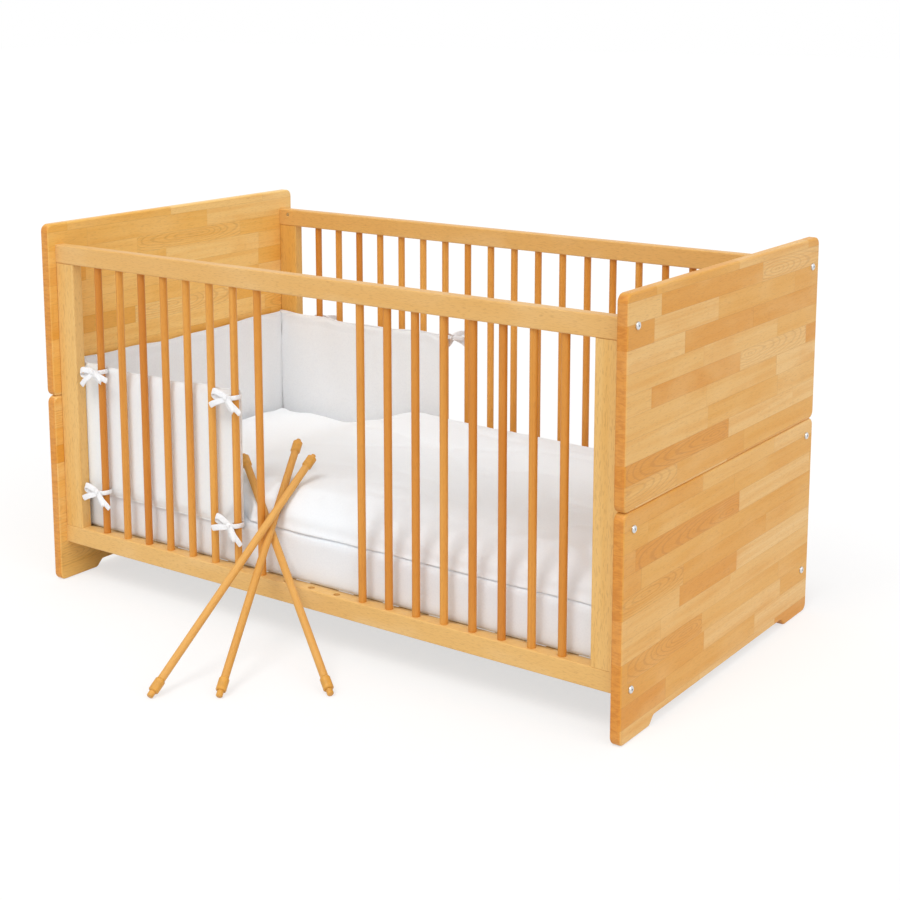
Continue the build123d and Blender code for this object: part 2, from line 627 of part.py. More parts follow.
def bumper_pad(length):
    """Upright pad along X from the origin: flat at y = 0 and crowned towards +Y."""
    section = make_face(
        [
            Line((0, 0), (0, BUMPER_HEIGHT)),
            Line((0, BUMPER_HEIGHT), (BUMPER_EDGE, BUMPER_HEIGHT)),
            ThreePointArc(
                (BUMPER_EDGE, BUMPER_HEIGHT), (BUMPER_DEPTH, BUMPER_HEIGHT / 2), (BUMPER_EDGE, 0)
            ),
            Line((BUMPER_EDGE, 0), (0, 0)),
        ]
    )
    return extrude(Plane.YZ * section, amount=length)


HEAD_PAD_LENGTH = 2 * (BUMPER_SIDE_Y - BUMPER_DEPTH - BUMPER_SEAM_GAP)
parts["mattress"] = mattress()
parts["quilt"] = quilt()
parts["bumper_front_pad"] = (
    Pos(-BUMPER_HEAD_X, -BUMPER_SIDE_Y, BUMPER_BOTTOM) * bumper_pad(BUMPER_FRONT_LENGTH)
)
parts["bumper_back_pad"] = (
    Pos(-BUMPER_HEAD_X + BUMPER_BACK_LENGTH, BUMPER_SIDE_Y, BUMPER_BOTTOM)
    * Rot(0, 0, 180)
    * bumper_pad(BUMPER_BACK_LENGTH)
)
parts["bumper_head_pad"] = (
    Pos(-BUMPER_HEAD_X, HEAD_PAD_LENGTH / 2, BUMPER_BOTTOM) * Rot(0, 0, -90) * bumper_pad(HEAD_PAD_LENGTH)
)


# Ribbon ties
def ribbon_tie():
    """Ribbon round a bar at the origin, tied in a bow on the bar's far side from the bumper."""
    inner = BAR_RADIUS + SOFT_GAP
    outer = inner + TIE_THICKNESS
    strap = extrude(Circle(outer) - Circle(inner), amount=TIE_WIDTH / 2, both=True)
    strap -= Pos(0, outer, 0) * Box(4 * outer, 2 * outer, 2 * TIE_WIDTH)
    for side in (-1, 1):
        arm_x = sorted((side * inner, side * outer))
        strap += block(arm_x, (0, SIDE_Y - BUMPER_SIDE_Y - SOFT_GAP), (-TIE_WIDTH / 2, TIE_WIDTH / 2))
    bow = RectangleRounded(BOW_KNOT, BOW_KNOT, BOW_KNOT / 4)
    for side in (-1, 1):
        bow += Rot(0, 0, side * BOW_TILT) * Pos(side * BOW_LOOP_LENGTH / 2, 0) * Ellipse(
            BOW_LOOP_LENGTH / 2, BOW_LOOP_HEIGHT / 2
        )
        tail = Rectangle(BOW_TAIL_LENGTH, TIE_WIDTH, align=(Align.MIN, Align.CENTER))
        bow += Rot(0, 0, -90 + side * BOW_TAIL_SPLAY) * tail
    plate = extrude(Plane.XZ.offset(outer - TIE_THICKNESS / 2) * bow, amount=BOW_DEPTH)
    return strap + plate


def end_bar(pad_length):
    """Place along the side of the bar nearest to a bumper pad's free end."""
    free_end = -BUMPER_HEAD_X + pad_length
    return min(BAR_XS, key=lambda x: abs(x - free_end))


TIE_ZS = (BUMPER_BOTTOM + TIE_DROP, BUMPER_TOP - TIE_DROP)
FRONT_TIE_XS = (BAR_XS[0], end_bar(BUMPER_FRONT_LENGTH))
BACK_TIE_XS = (BAR_XS[0], end_bar(BUMPER_BACK_LENGTH))
parts["bumper_front_ties"] = Compound(
    [Pos(x, -SIDE_Y, z) * ribbon_tie() for x in FRONT_TIE_XS for z in TIE_ZS]
)
parts["bumper_back_ties"] = Compound(
    [Pos(x, SIDE_Y, z) * Rot(0, 0, 180) * ribbon_tie() for x in BACK_TIE_XS for z in TIE_ZS]
)

# The origin is on the floor, in the middle of the whole set with its leaning rungs
whole = Compound(list(parts.values())).bounding_box()
TO_ORIGIN = Pos(-whole.center().X, -whole.center().Y, -whole.min.Z)

os.makedirs("parts", exist_ok=True)
for name, shape in parts.items():
    export_step(TO_ORIGIN * shape, f"parts/{name}.step")
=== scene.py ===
# Looks of the baby crib: beech finishes, white bedding, ribbon bows, studio light and camera.
# Lengths are in metres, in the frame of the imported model.
import json
import math
from itertools import product

import bpy
import numpy as np
from mathutils import Euler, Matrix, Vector, noise


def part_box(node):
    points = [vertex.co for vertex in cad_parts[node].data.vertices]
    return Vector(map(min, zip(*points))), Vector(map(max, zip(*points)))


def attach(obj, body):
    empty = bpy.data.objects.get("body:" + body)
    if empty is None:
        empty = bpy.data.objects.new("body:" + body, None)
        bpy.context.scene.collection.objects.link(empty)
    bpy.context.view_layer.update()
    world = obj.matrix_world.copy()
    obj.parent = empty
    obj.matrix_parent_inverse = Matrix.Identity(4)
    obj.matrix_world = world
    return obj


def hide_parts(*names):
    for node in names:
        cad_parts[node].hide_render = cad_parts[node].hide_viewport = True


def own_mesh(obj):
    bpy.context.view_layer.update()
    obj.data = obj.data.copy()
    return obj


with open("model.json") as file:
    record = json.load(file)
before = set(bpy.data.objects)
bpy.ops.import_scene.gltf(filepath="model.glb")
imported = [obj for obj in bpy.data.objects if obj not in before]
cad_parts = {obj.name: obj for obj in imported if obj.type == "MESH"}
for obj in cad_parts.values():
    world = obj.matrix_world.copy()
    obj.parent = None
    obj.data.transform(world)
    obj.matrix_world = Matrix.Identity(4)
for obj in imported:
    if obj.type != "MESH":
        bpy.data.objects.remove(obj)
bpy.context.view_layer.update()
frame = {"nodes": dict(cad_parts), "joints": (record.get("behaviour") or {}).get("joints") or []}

# Camera, as fitted to the photograph's 900 pixel frame
IMAGE_SIZE = 900
FOCAL_PIXELS = 1625.4
PRINCIPAL_POINT = (450, 275)
SENSOR_WIDTH = 36
CAMERA_YAW = 0.6167
CAMERA_PITCH = 0.1706
CAMERA_FROM_CRIB = Vector((2.0289, -2.7501, 1.3022))

# Studio
AMBIENT_STRENGTH = 0.60
FLOOR_SIZE = 60.0
FLOOR_BOUNCE = 0.80
FLOOR_SHOWN = 0.36
FLOOR_LIFT = 0.64
FRONT_LIGHT_FROM = Vector((0.00, -0.55, 0.83))
FRONT_LIGHT_STRENGTH = 1.20
FRONT_LIGHT_ANGLE = 26
SIDE_LIGHT_FROM = Vector((0.90, -0.35, 0.70))
SIDE_LIGHT_STRENGTH = 0.85
SIDE_LIGHT_ANGLE = 60

# Beech: stave sizes and grain scales
STAVE_HEIGHT = 0.040
STAVE_LENGTH = 0.33
STAVE_HEIGHT_WANDER = 0.35
STAVE_LENGTH_WANDER = 1.3
HEIGHT_WANDER_SCALE = 11.0
LENGTH_WANDER_SCALE = 2.6
STAVE_START_SPREAD = 9.0
SEAM_WIDTH = 0.0006
FLECK_SCALE = Vector((85, 750, 750))
STREAK_SCALE = Vector((3, 70, 70))
CLOUD_SCALE = Vector((6, 14, 14))
RING_SCALE = Vector((3.5, 46, 46))
RING_PITCH = 0.0048
FLAME_SLENDER = 0.16
FLAME_WARP = 0.007
FLAME_SPREAD_ALONG = 0.24
FLAME_SPREAD_ACROSS = 0.02
PORE_SCALE = Vector((55, 700, 700))
KNOT_SCALE = Vector((4, 6, 6))
END_GRAIN_SCALE = Vector((4, 190, 60))
GRAIN_SHIFT = Vector((7, 3, 3))

# Beech: where the noise of each mark sets in and where it is full
STREAK_RANGE = (0.38, 0.72)
PALE_CLOUD_RANGE = (0.45, 0.75)
DARK_CLOUD_RANGE = (0.45, 0.22)
PORE_RANGE = (0.56, 0.74)
FLECK_RANGE = (0.60, 0.72)
KNOT_CHANCE = (0.80, 0.82)
KNOT_RANGE = (-0.030, -0.012)
FLAME_CHANCE = (0.98, 1.04)
FLAME_RANGE = (0.35, 1.0)
END_GRAIN_FACING = (0.45, 0.85)
END_GRAIN_RANGE = (0.35, 0.70)

# Beech: how strongly each mark stains the board
STREAK_STAIN = 0.42
PALE_CLOUD_STAIN = 0.35
DARK_CLOUD_STAIN = 0.40
RING_STAIN = (0.05, 0.42)
PORE_STAIN = 0.16
FLECK_STAIN = 0.34
KNOT_STAIN = 0.75
FLAME_STAIN = 0.17
SEAM_STAIN = 0.30
END_GRAIN_STAIN = 0.80

# Springs in the rungs' sleeves
SPRING_WIRE_RADIUS = 0.0005
SPRING_TURNS = 5
SPRING_STEPS = 16

# Cloth, grids and tubes
SIM_FRAMES = 20
CELL_CORNERS = ((0, 0), (1, 0), (1, 1), (0, 1))
TUBE_SIDES = 8
STEEP_TANGENT = 0.8
TINY = 1e-9

# Bumper pads
PAD_SEAM_DEPTH = 0.006
PAD_OUTER_BULGE = 0.0045
PAD_INNER_BULGE = 0.009
PAD_END_FULLNESS = 14
PAD_EDGE_FULLNESS = 8
PAD_CELL = 0.006
PAD_CORNER_REACH = 0.010
PAD_TOP_DIP = 0.006
PAD_TOP_WAVE = 0.0015
PAD_TOP_WAVE_TURN = 23
PAD_FACE_WAVE = 0.0012
PAD_FACE_WAVE_TURN = 31
PAD_FACE_WAVE_LEAN = 3
PAD_PRESSURE = 3.0
PAD_GROWTH = 0.012
PAD_SWELL = 0.006
PIPING_RADIUS = 0.0015

# Mattress: how far its edges are rounded, and the pulls in its cover as scale, seed and weight of noise
MATTRESS_CELL = 0.009
MATTRESS_LOW_ROUND = (0.035, 0.014, 0.004)
MATTRESS_HIGH_ROUND = (0.035, 0.014, 0.018)
MATTRESS_SIDE_BAND = (0.30, 0.34)
MATTRESS_SIDE_TUCK = 0.0015
MATTRESS_END_BAND = (0.64, 0.69)
MATTRESS_END_TUCK = 0.002
MATTRESS_FOLD_DEPTH = 0.0018
MATTRESS_FOLDS = (((16, 4, 5), 3.1, 0.6), ((45, 9, 14), 8.7, 0.3))

# Quilt: its fall at the head end, its rise at the back, its rolled front edge and its creases
QUILT_CELL = 0.009
QUILT_PUFF = 0.008
QUILT_RISE = 0.006
QUILT_STILL_HEIGHT = 0.010
QUILT_HEAD_DROP = 0.038
QUILT_HEAD_BAND = (-0.47, -0.22)
QUILT_FOOT_RISE = 0.022
QUILT_FOOT_BAND = (-0.46, -0.20)
QUILT_BACK_BAND = (0.20, 0.62)
QUILT_HEM_HEIGHT = 0.012
QUILT_HEM_ROLL = 0.007
QUILT_UPPER_ROLL = 0.055
QUILT_HEAD_ROUND = 0.030
QUILT_UNDER_ROUND = 0.006
QUILT_HIGH_ROUND = (0.040, 0.020, 0.044)
QUILT_OVERHANG = 0.003
QUILT_OPEN_BAND = (-0.001, 0.011)
QUILT_BELLY_START = 0.010
QUILT_BELLY_HEIGHT = 0.075
QUILT_DRAPE = 0.004
QUILT_DRAPE_DEPTH = 0.024
QUILT_DRAPE_HEIGHT = 0.05
QUILT_DRAPE_WAVE = 0.25
QUILT_DRAPE_NOISE = ((5, 1, 1), 4.4)
QUILT_PINNED_HEIGHT = 0.004
QUILT_PRESSURE = 4.0
QUILT_GROWTH = 0.015
QUILT_SWELL = 0.012
QUILT_SWELLS = (((3.2, 4.6, 2), 5.3, 0.0035), ((8, 6, 3), 1.9, 0.0016))
QUILT_CREASE_NOISE = ((4, 9, 4), 7.7)
QUILT_CREASE_DEPTH = 0.0025
QUILT_CREASE_SHARPNESS = 6
QUILT_FRONT_DEPTH = 0.05
QUILT_FRONT_WAVE = 0.003
QUILT_FRONT_NOISE = ((14, 3, 6), 2.2)
RUNG_DENT_RADIUS = 0.0115
RUNG_DENT_SLOPE = 2.4
RUNG_DENT_ROUND = 0.012

# Ribbon bows
RIBBON_WIDTH = 0.0105
RIBBON_THICKNESS = 0.0007
RIBBON_CORNERS = 6
RIBBON_STEPS = 6
BOW_SPREAD = 1.3
BOW_FROM_EDGE = 0.013
BOW_SPINS = (-6, -26, 3, -8)
MM_PER_M = 1000

# Names, counts and directions
RUNGS = ("low", "middle", "top")
BAR_COUNT = 19
X, Y, Z = Vector((1, 0, 0)), Vector((0, 1, 0)), Vector((0, 0, 1))

# Places read from the frame
front_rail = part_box("front_top_rail")
back_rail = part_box("back_top_rail")
CRIB_Y = (front_rail[0].y + back_rail[1].y) / 2
bars_low, bars_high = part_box("back_bars")
BAR_DIAMETER = bars_high.y - bars_low.y
BAR_PITCH = (bars_high.x - bars_low.x - BAR_DIAMETER) / (BAR_COUNT - 1)
FRONT_BAR_Y = (front_rail[0].y + front_rail[1].y) / 2
BACK_BAR_Y = (back_rail[0].y + back_rail[1].y) / 2


def joint_named(name):
    """One joint of the frame."""
    return next(joint for joint in frame["joints"] if joint["name"] == name)


def rung_axis(rung):
    """A point on a rung's axis, and its direction."""
    low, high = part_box(f"{rung}_rung_dowel")
    return (low + high) / 2, Vector(joint_named(f"{rung}_rung_draw")["axis"]).normalized()


def srgb(red, green, blue):
    """Linear colour from display values of 0 to 255."""

    def linear(value):
        share = value / 255
        return share / 12.92 if value <= 10 else ((share + 0.055) / 1.055) ** 2.4

    return (linear(red), linear(green), linear(blue), 1)


def darker(colour, share):
    """A colour at a share of its brightness."""
    return tuple(v * share for v in colour[:3]) + (1,)


# Materials
class Graph:
    """A material's node tree, with short ways to add and join nodes."""

    def __init__(self, name):
        self.material = bpy.data.materials.new(name)
        self.material.use_nodes = True
        self.tree = self.material.node_tree
        self.shader = self.tree.nodes["Principled BSDF"]

    def feed(self, socket, value):
        """Links a socket to another one, or sets its value."""
        if isinstance(value, bpy.types.NodeSocket):
            self.tree.links.new(value, socket)
        else:
            socket.default_value = value

    def node(self, kind, inputs, **settings):
        """Adds a node with its inputs and settings."""
        made = self.tree.nodes.new("ShaderNode" + kind)
        for key, value in settings.items():
            setattr(made, key, value)
        for key, value in inputs.items():
            self.feed(made.inputs[key], value)
        return made

    def place(self):
        """A point's place on its piece."""
        return self.node("TexCoord", {}).outputs["Object"]

    def normal(self):
        return self.node("TexCoord", {}).outputs["Normal"]

    def math(self, operation, *values):
        return self.node("Math", dict(enumerate(values)), operation=operation).outputs[0]

    def vector(self, operation, *values):
        return self.node("VectorMath", dict(enumerate(values)), operation=operation).outputs["Vector"]

    def dot(self, a, b):
        return self.node("VectorMath", {0: a, 1: b}, operation="DOT_PRODUCT").outputs["Value"]

    def combine(self, x, y, z):
        return self.node("CombineXYZ", {0: x, 1: y, 2: z}).outputs[0]

    def noise(self, vector, scale=1.0, detail=2.0, distortion=0.0):
        inputs = {"Vector": vector, "Scale": scale, "Detail": detail, "Distortion": distortion}
        return self.node("TexNoise", inputs).outputs[0]

    def random(self, vector):
        """A node whose value and colour are random, and the same wherever the vector is."""
        return self.node("TexWhiteNoise", {"Vector": vector}, noise_dimensions="3D")

    def step(self, value, low, high):
        """0 below low, 1 above high, smooth between."""
        inputs = {"Value": value, "From Min": low, "From Max": high}
        return self.node("MapRange", inputs, interpolation_type="SMOOTHSTEP").outputs[0]

    def spread(self, value, low, high):
        """A value of 0 to 1 stretched from low to high."""
        return self.node("MapRange", {"Value": value, "To Min": low, "To Max": high}).outputs[0]

    def mix(self, factor, a, b):
        return self.node("Mix", {0: factor, 6: a, 7: b}, data_type="RGBA").outputs[2]

    def stain(self, colour, mark, strength, tone):
        """A colour drawn towards a tone where a mark lies."""
        return self.mix(self.math("MULTIPLY", mark, strength), colour, tone)

    def tone(self, value, colours):
        """A value's colour on a ramp of evenly spaced colours."""
        made = self.node("ValToRGB", {0: value})
        stops = made.color_ramp.elements
        while len(stops) < len(colours):
            stops.new(0.5)
        for i, colour in enumerate(colours):
            stops[i].position = i / (len(colours) - 1)
            stops[i].color = colour
        return made.outputs[0]

    def bump(self, height, strength, distance):
        inputs = {"Height": height, "Strength": strength, "Distance": distance}
        self.feed(self.shader.inputs["Normal"], self.node("Bump", inputs).outputs[0])

    def finish(self, colour, roughness, **constants):
        """Sets what the surface is like and returns its material."""
        self.feed(self.shader.inputs["Base Color"], colour)
        self.feed(self.shader.inputs["Roughness"], roughness)
        for name, value in constants.items():
            self.shader.inputs[name.replace("_", " ")].default_value = value
        return self.material


GRAIN_BROWN = srgb(150, 84, 32)
KNOT_BROWN = srgb(105, 52, 18)
END_GRAIN_TONES = (srgb(219, 144, 56), srgb(198, 119, 38))


def stave_cells(g, along, rise, seed):
    """Edge-glued staves: row and cell numbers, glue lines, and a point's place from its stave's middle."""
    wander = g.noise(g.combine(g.math("MULTIPLY", rise, HEIGHT_WANDER_SCALE), seed, 0.0))
    wander = g.math("MULTIPLY", wander, STAVE_HEIGHT_WANDER)
    row_place = g.math("ADD", g.math("DIVIDE", rise, STAVE_HEIGHT), wander)
    row_place = g.math("ADD", row_place, seed)
    row = g.math("FLOOR", row_place)
    row_chance = g.random(g.combine(row, seed, 0.5)).outputs["Value"]
    start = g.math("MULTIPLY", row_chance, STAVE_START_SPREAD)
    uneven = g.noise(g.combine(g.math("MULTIPLY", along, LENGTH_WANDER_SCALE), row, seed))
    cell_place = g.math("ADD", g.math("DIVIDE", along, STAVE_LENGTH), start)
    cell_place = g.math("ADD", cell_place, g.math("MULTIPLY", uneven, STAVE_LENGTH_WANDER))
    cell = g.math("FLOOR", cell_place)
    from_middle, lines = [], []
    for place, size in ((row_place, STAVE_HEIGHT), (cell_place, STAVE_LENGTH)):
        share = g.math("SUBTRACT", g.math("FRACT", place), 0.5)
        lines.append(g.step(g.math("ABSOLUTE", share), 0.5 - SEAM_WIDTH / size, 0.5))
        from_middle.append(g.math("MULTIPLY", share, size))
    mid_rise, mid_along = from_middle
    return row, cell, g.math("MAXIMUM", *lines), mid_along, mid_rise


def flame(g, along, rise, chance, warp, wild):
    """Nested arcs of growth rings where a board was sawn flat, on some staves only."""
    off_along = g.math("MULTIPLY", g.math("SUBTRACT", g.dot(chance, X), 0.5), FLAME_SPREAD_ALONG)
    off_across = g.math("MULTIPLY", g.math("SUBTRACT", g.dot(chance, Z), 0.5), FLAME_SPREAD_ACROSS)
    far = g.math("MULTIPLY", g.math("ADD", along, off_along), FLAME_SLENDER)
    side = g.math("ADD", rise, off_across)
    reach = g.math("SQRT", g.math("ADD", g.math("MULTIPLY", far, far), g.math("MULTIPLY", side, side)))
    reach = g.math("ADD", reach, g.math("MULTIPLY", warp, FLAME_WARP))
    wave = g.math("SINE", g.math("MULTIPLY", reach, 2 * math.pi / RING_PITCH))
    shown = g.step(g.dot(chance, Y), *(limit - wild / 2 for limit in FLAME_CHANCE))
    return g.math("MULTIPLY", g.step(wave, *FLAME_RANGE), shown)


def wood(name, along, across, tones, seed, wild, fleck=0.4, staves=False, pitch=None):
    """Oiled beech with streaks, growth rings, pores and flecks along its grain.

    It is one board, or glued staves, or a board for each bar at a pitch along X."""
    g = Graph(name)
    place = g.place()
    s = g.dot(place, along)
    t = g.dot(place, across)
    d = g.dot(place, along.cross(across))
    line = 0.0
    if staves:
        row, cell, line, mid_along, mid_rise = stave_cells(g, s, t, seed)
        piece = g.combine(row, cell, seed)
    elif pitch:
        bar = g.math("FLOOR", g.math("ADD", g.math("DIVIDE", g.dot(place, X), pitch), 0.5))
        piece = g.combine(bar, seed, 0.0)
    else:
        piece = g.combine(seed, 1.0, 0.0)
    chance = g.random(piece)
    shift = g.vector("MULTIPLY", chance.outputs["Color"], GRAIN_SHIFT)
    grain = g.vector("ADD", g.combine(s, t, d), shift)
    streaks = g.noise(g.vector("MULTIPLY", grain, STREAK_SCALE), detail=5.0)
    clouds = g.noise(g.vector("MULTIPLY", grain, CLOUD_SCALE), detail=2.0)
    rings = g.node(
        "TexWave",
        {
            "Vector": g.vector("MULTIPLY", grain, RING_SCALE),
            "Scale": 1.0,
            "Distortion": 5.0,
            "Detail": 2.0,
            "Detail Scale": 0.45,
        },
        bands_direction="Y",
    ).outputs["Fac"]
    ring_gate = g.step(g.dot(chance.outputs["Color"], Y), 1.0 - wild, 1.05)
    pores = g.step(g.noise(g.vector("MULTIPLY", grain, PORE_SCALE), detail=2.0), *PORE_RANGE)
    flecks = g.step(g.noise(g.vector("MULTIPLY", grain, FLECK_SCALE), detail=0.0), *FLECK_RANGE)
    knots = g.node("TexVoronoi", {"Vector": g.vector("MULTIPLY", grain, KNOT_SCALE), "Scale": 1.0})
    knot_gate = g.step(g.dot(knots.outputs["Color"], X), *KNOT_CHANCE)
    in_knot = g.step(g.math("MULTIPLY", knots.outputs["Distance"], -1.0), *KNOT_RANGE)
    dark = tones[0]
    colour = g.tone(chance.outputs["Value"], tones)
    colour = g.stain(colour, g.step(streaks, *STREAK_RANGE), STREAK_STAIN, dark)
    colour = g.stain(colour, g.step(clouds, *PALE_CLOUD_RANGE), PALE_CLOUD_STAIN, tones[-1])
    colour = g.stain(colour, g.step(clouds, *DARK_CLOUD_RANGE), DARK_CLOUD_STAIN, dark)
    colour = g.stain(colour, g.math("POWER", rings, 3.0), g.spread(ring_gate, *RING_STAIN), dark)
    colour = g.stain(colour, pores, PORE_STAIN, GRAIN_BROWN)
    colour = g.stain(colour, flecks, fleck * FLECK_STAIN, GRAIN_BROWN)
    colour = g.stain(colour, g.math("MULTIPLY", in_knot, knot_gate), KNOT_STAIN, KNOT_BROWN)
    if staves:
        arcs = flame(g, mid_along, mid_rise, chance.outputs["Color"], clouds, wild)
        colour = g.stain(colour, arcs, FLAME_STAIN, GRAIN_BROWN)
        colour = g.stain(colour, line, SEAM_STAIN, GRAIN_BROWN)
        end_grain = g.step(g.math("ABSOLUTE", g.dot(g.normal(), along)), *END_GRAIN_FACING)
        layers = g.noise(g.vector("MULTIPLY", grain, END_GRAIN_SCALE), detail=2.0, distortion=0.8)
        end_tone = g.mix(g.step(layers, *END_GRAIN_RANGE), *END_GRAIN_TONES)
        colour = g.stain(colour, end_grain, END_GRAIN_STAIN, end_tone)
    height = g.math("ADD", g.math("MULTIPLY", streaks, 0.5), g.math("MULTIPLY", pores, -0.5))
    height = g.math("SUBTRACT", height, g.math("MULTIPLY", line, 0.6))
    g.bump(height, 0.22, 0.0004)
    return g.finish(colour, g.spread(streaks, 0.36, 0.56), Specular_IOR_Level=0.38)


def plastic(name, colour, seed):
    """Wood-toned moulded plastic with a faint mottle."""
    g = Graph(name)
    place = g.vector("ADD", g.place(), (seed, seed, seed))
    mottle = g.noise(place, scale=90.0, detail=3.0)
    pits = g.noise(place, scale=1400.0, detail=1.0)
    tint = g.mix(g.step(mottle, 0.3, 0.7), colour, darker(colour, 0.86))
    g.bump(pits, 0.12, 0.0002)
    return g.finish(tint, g.spread(mottle, 0.30, 0.46))


def metal(name, colour, low_roughness, high_roughness):
    """Zinc-plated steel with fine crystalline variation."""
    g = Graph(name)
    mottle = g.noise(g.place(), scale=420.0, detail=4.0)
    cells = g.node("TexVoronoi", {"Vector": g.place(), "Scale": 900.0}).outputs["Distance"]
    tint = g.mix(mottle, colour, darker(colour, 0.78))
    g.bump(cells, 0.10, 0.0002)
    return g.finish(tint, g.spread(mottle, low_roughness, high_roughness), Metallic=1.0)


def fabric(name, colour, shade, thread, crumple, sheen):
    """Woven cotton: threads across each other, slubs and soft crumples."""
    g = Graph(name)
    place = g.place()
    turns = 2 * math.pi / thread
    waves = [g.math("SINE", g.math("MULTIPLY", g.dot(place, axis), turns)) for axis in (X, Y, Z)]
    weave = g.math("MULTIPLY", waves[0], waves[1])
    for one, other in ((1, 2), (2, 0)):
        weave = g.math("ADD", weave, g.math("MULTIPLY", waves[one], waves[other]))
    slubs = g.noise(place, scale=260.0, detail=3.0)
    folds = g.noise(g.vector("MULTIPLY", place, (1.0, 1.0, 0.6)), scale=13.0, detail=4.0, distortion=0.8)
    height = g.math("ADD", g.math("MULTIPLY", weave, 0.05), g.math("MULTIPLY", slubs, 0.10))
    height = g.math("ADD", height, g.math("MULTIPLY", folds, crumple))
    g.bump(height, 0.35, 0.004)
    tint = g.mix(g.step(slubs, 0.35, 0.75), colour, shade)
    return g.finish(tint, g.spread(slubs, 0.78, 0.92), Sheen_Weight=sheen, Specular_IOR_Level=0.25)


FOOT_TONES = [
    srgb(220, 149, 54),
    srgb(227, 168, 77),
    srgb(230, 177, 95),
    srgb(232, 183, 107),
    srgb(236, 194, 127),
]
# Head panel tones: the foot panel's beech painted lighter, as painted light against the shade on the head
# panel's inner face
HEAD_TONES_PAINTED_LIGHTER = [
    srgb(232, 166, 67),
    srgb(241, 185, 90),
    srgb(245, 194, 107),
    srgb(246, 200, 119),
    srgb(248, 208, 135),
]
RAIL_TONES = [srgb(225, 172, 95), srgb(230, 187, 121), srgb(235, 199, 142)]
# Bottom rail tones: the rail beech painted paler and less orange, to offset the warmer light that falls
# low on the crib
LOW_RAIL_TONES_PAINTED_PALER = [srgb(229, 182, 108), srgb(234, 197, 134), srgb(239, 208, 155)]
STILE_TONES = [srgb(224, 166, 74), srgb(229, 179, 98), srgb(235, 192, 121)]
BAR_TONES = [srgb(203, 126, 40), srgb(218, 147, 58), srgb(229, 165, 76)]
BASE_TONES = [srgb(214, 172, 112), srgb(228, 192, 136), srgb(236, 204, 152)]
RUNG_TONES = [srgb(214, 155, 73), srgb(223, 167, 87), srgb(228, 176, 98)]
RUNG_END_TONE = srgb(221, 160, 66)

# Colour, shade, thread pitch, depth of crumples and sheen of each cloth
cotton = fabric("white_cotton", srgb(246, 251, 255), srgb(243, 248, 253), 0.0007, 0.30, 0.2)
cover = fabric("mattress_cover", srgb(245, 250, 255), srgb(241, 246, 252), 0.0009, 0.18, 0.1)
# Head and back pads: the white cotton painted darker, as painted shade inside the crib
padding_painted_shade = fabric("bumper_cotton_painted_shade", srgb(240, 241, 242), srgb(236, 237, 239), 0.0007, 0.25, 0.2)
# Front pad: the white cotton painted lighter, as painted light against the shade the bars cast on it
front_padding_painted_light = fabric(
    "bumper_front_cotton_painted_light", srgb(248, 253, 255), srgb(245, 250, 254), 0.0007, 0.25, 0.2
)
satin = fabric("white_ribbon", srgb(248, 248, 249), srgb(240, 240, 243), 0.0006, 0.05, 0.3)
zinc = metal("zinc_steel", srgb(226, 228, 230), 0.22, 0.36)
spring_steel = metal("spring_steel", srgb(150, 152, 156), 0.3, 0.45)


def paint(node, material):
    """One finish all over a CAD node."""
    slots = frame["nodes"][node].data.materials
    slots.clear()
    slots.append(material)


def paint_wood():
    """Each wooden piece gets its own board: grain along its length and a tone of its own, with painted
    light on the head panels and the bottom rails.
    """
    for i, (end, level) in enumerate(product(("head", "foot"), ("upper", "lower"))):
        name = f"{end}_{level}_panel"
        # The head panels take tones painted lighter, as painted light against the shade inside the crib
        tones = HEAD_TONES_PAINTED_LIGHTER if end == "head" else FOOT_TONES
        wild = 0.25 if level == "upper" else 0.5
        paint(name, wood(name, Y, Z, tones, seed=3.0 + 7.0 * i, wild=wild, staves=True))
    for i, (side, level) in enumerate(product(("front", "back"), ("bottom", "top"))):
        name = f"{side}_{level}_rail"
        # The bottom rails take tones painted paler, to offset the warmer light that falls on them
        tones = RAIL_TONES if level == "top" else LOW_RAIL_TONES_PAINTED_PALER
        paint(name, wood(name, X, Z, tones, seed=11.0 + 5.0 * i, wild=0.3, fleck=0.55))
    for i, (side, end) in enumerate(product(("front", "back"), ("head", "foot"))):
        name = f"{side}_{end}_stile"
        paint(name, wood(name, Z, X, STILE_TONES, seed=31.0 + 3.0 * i, wild=0.3, fleck=0.7))
    bar_wood = wood("beech_bar", Z, X, BAR_TONES, seed=5.0, wild=0.4, pitch=BAR_PITCH)
    dowels = ("head_panel_dowels", "foot_panel_dowels", "front_frame_dowels", "back_frame_dowels")
    for name in ("front_head_bars", "front_foot_bars", "back_bars", *dowels):
        paint(name, bar_wood)
    base_wood = wood("base_wood", Y, X, BASE_TONES, seed=41.0, wild=0.6, pitch=BAR_PITCH)
    for name in ("base_front_beam", "base_back_beam", "base_head_rail", "base_foot_rail", "base_slats"):
        paint(name, base_wood)


def paint_rungs():
    """Dowels with their grain along the rung, plastic ends and steel springs."""
    for i, rung in enumerate(RUNGS):
        _, axis = rung_axis(rung)
        side = axis.cross(Z).normalized()
        dowel = f"{rung}_rung_dowel"
        paint(dowel, wood(dowel, axis, side, RUNG_TONES, seed=60.0 + 9.0 * i, wild=0.3))
        ends = plastic(f"{rung}_rung_ends", RUNG_END_TONE, seed=1.7 * i)
        for piece in ("sleeve", "end_cap", "plunger"):
            paint(f"{rung}_rung_{piece}", ends)
        paint(f"{rung}_rung_spring", spring_steel)


def paint_fittings():
    """Bolts, nuts and inserts."""
    for end in ("head", "foot"):
        for piece in (f"{end}_bolts", f"{end}_barrel_nuts", f"{end}_height_inserts", f"base_{end}_bolts"):
            paint(piece, zinc)


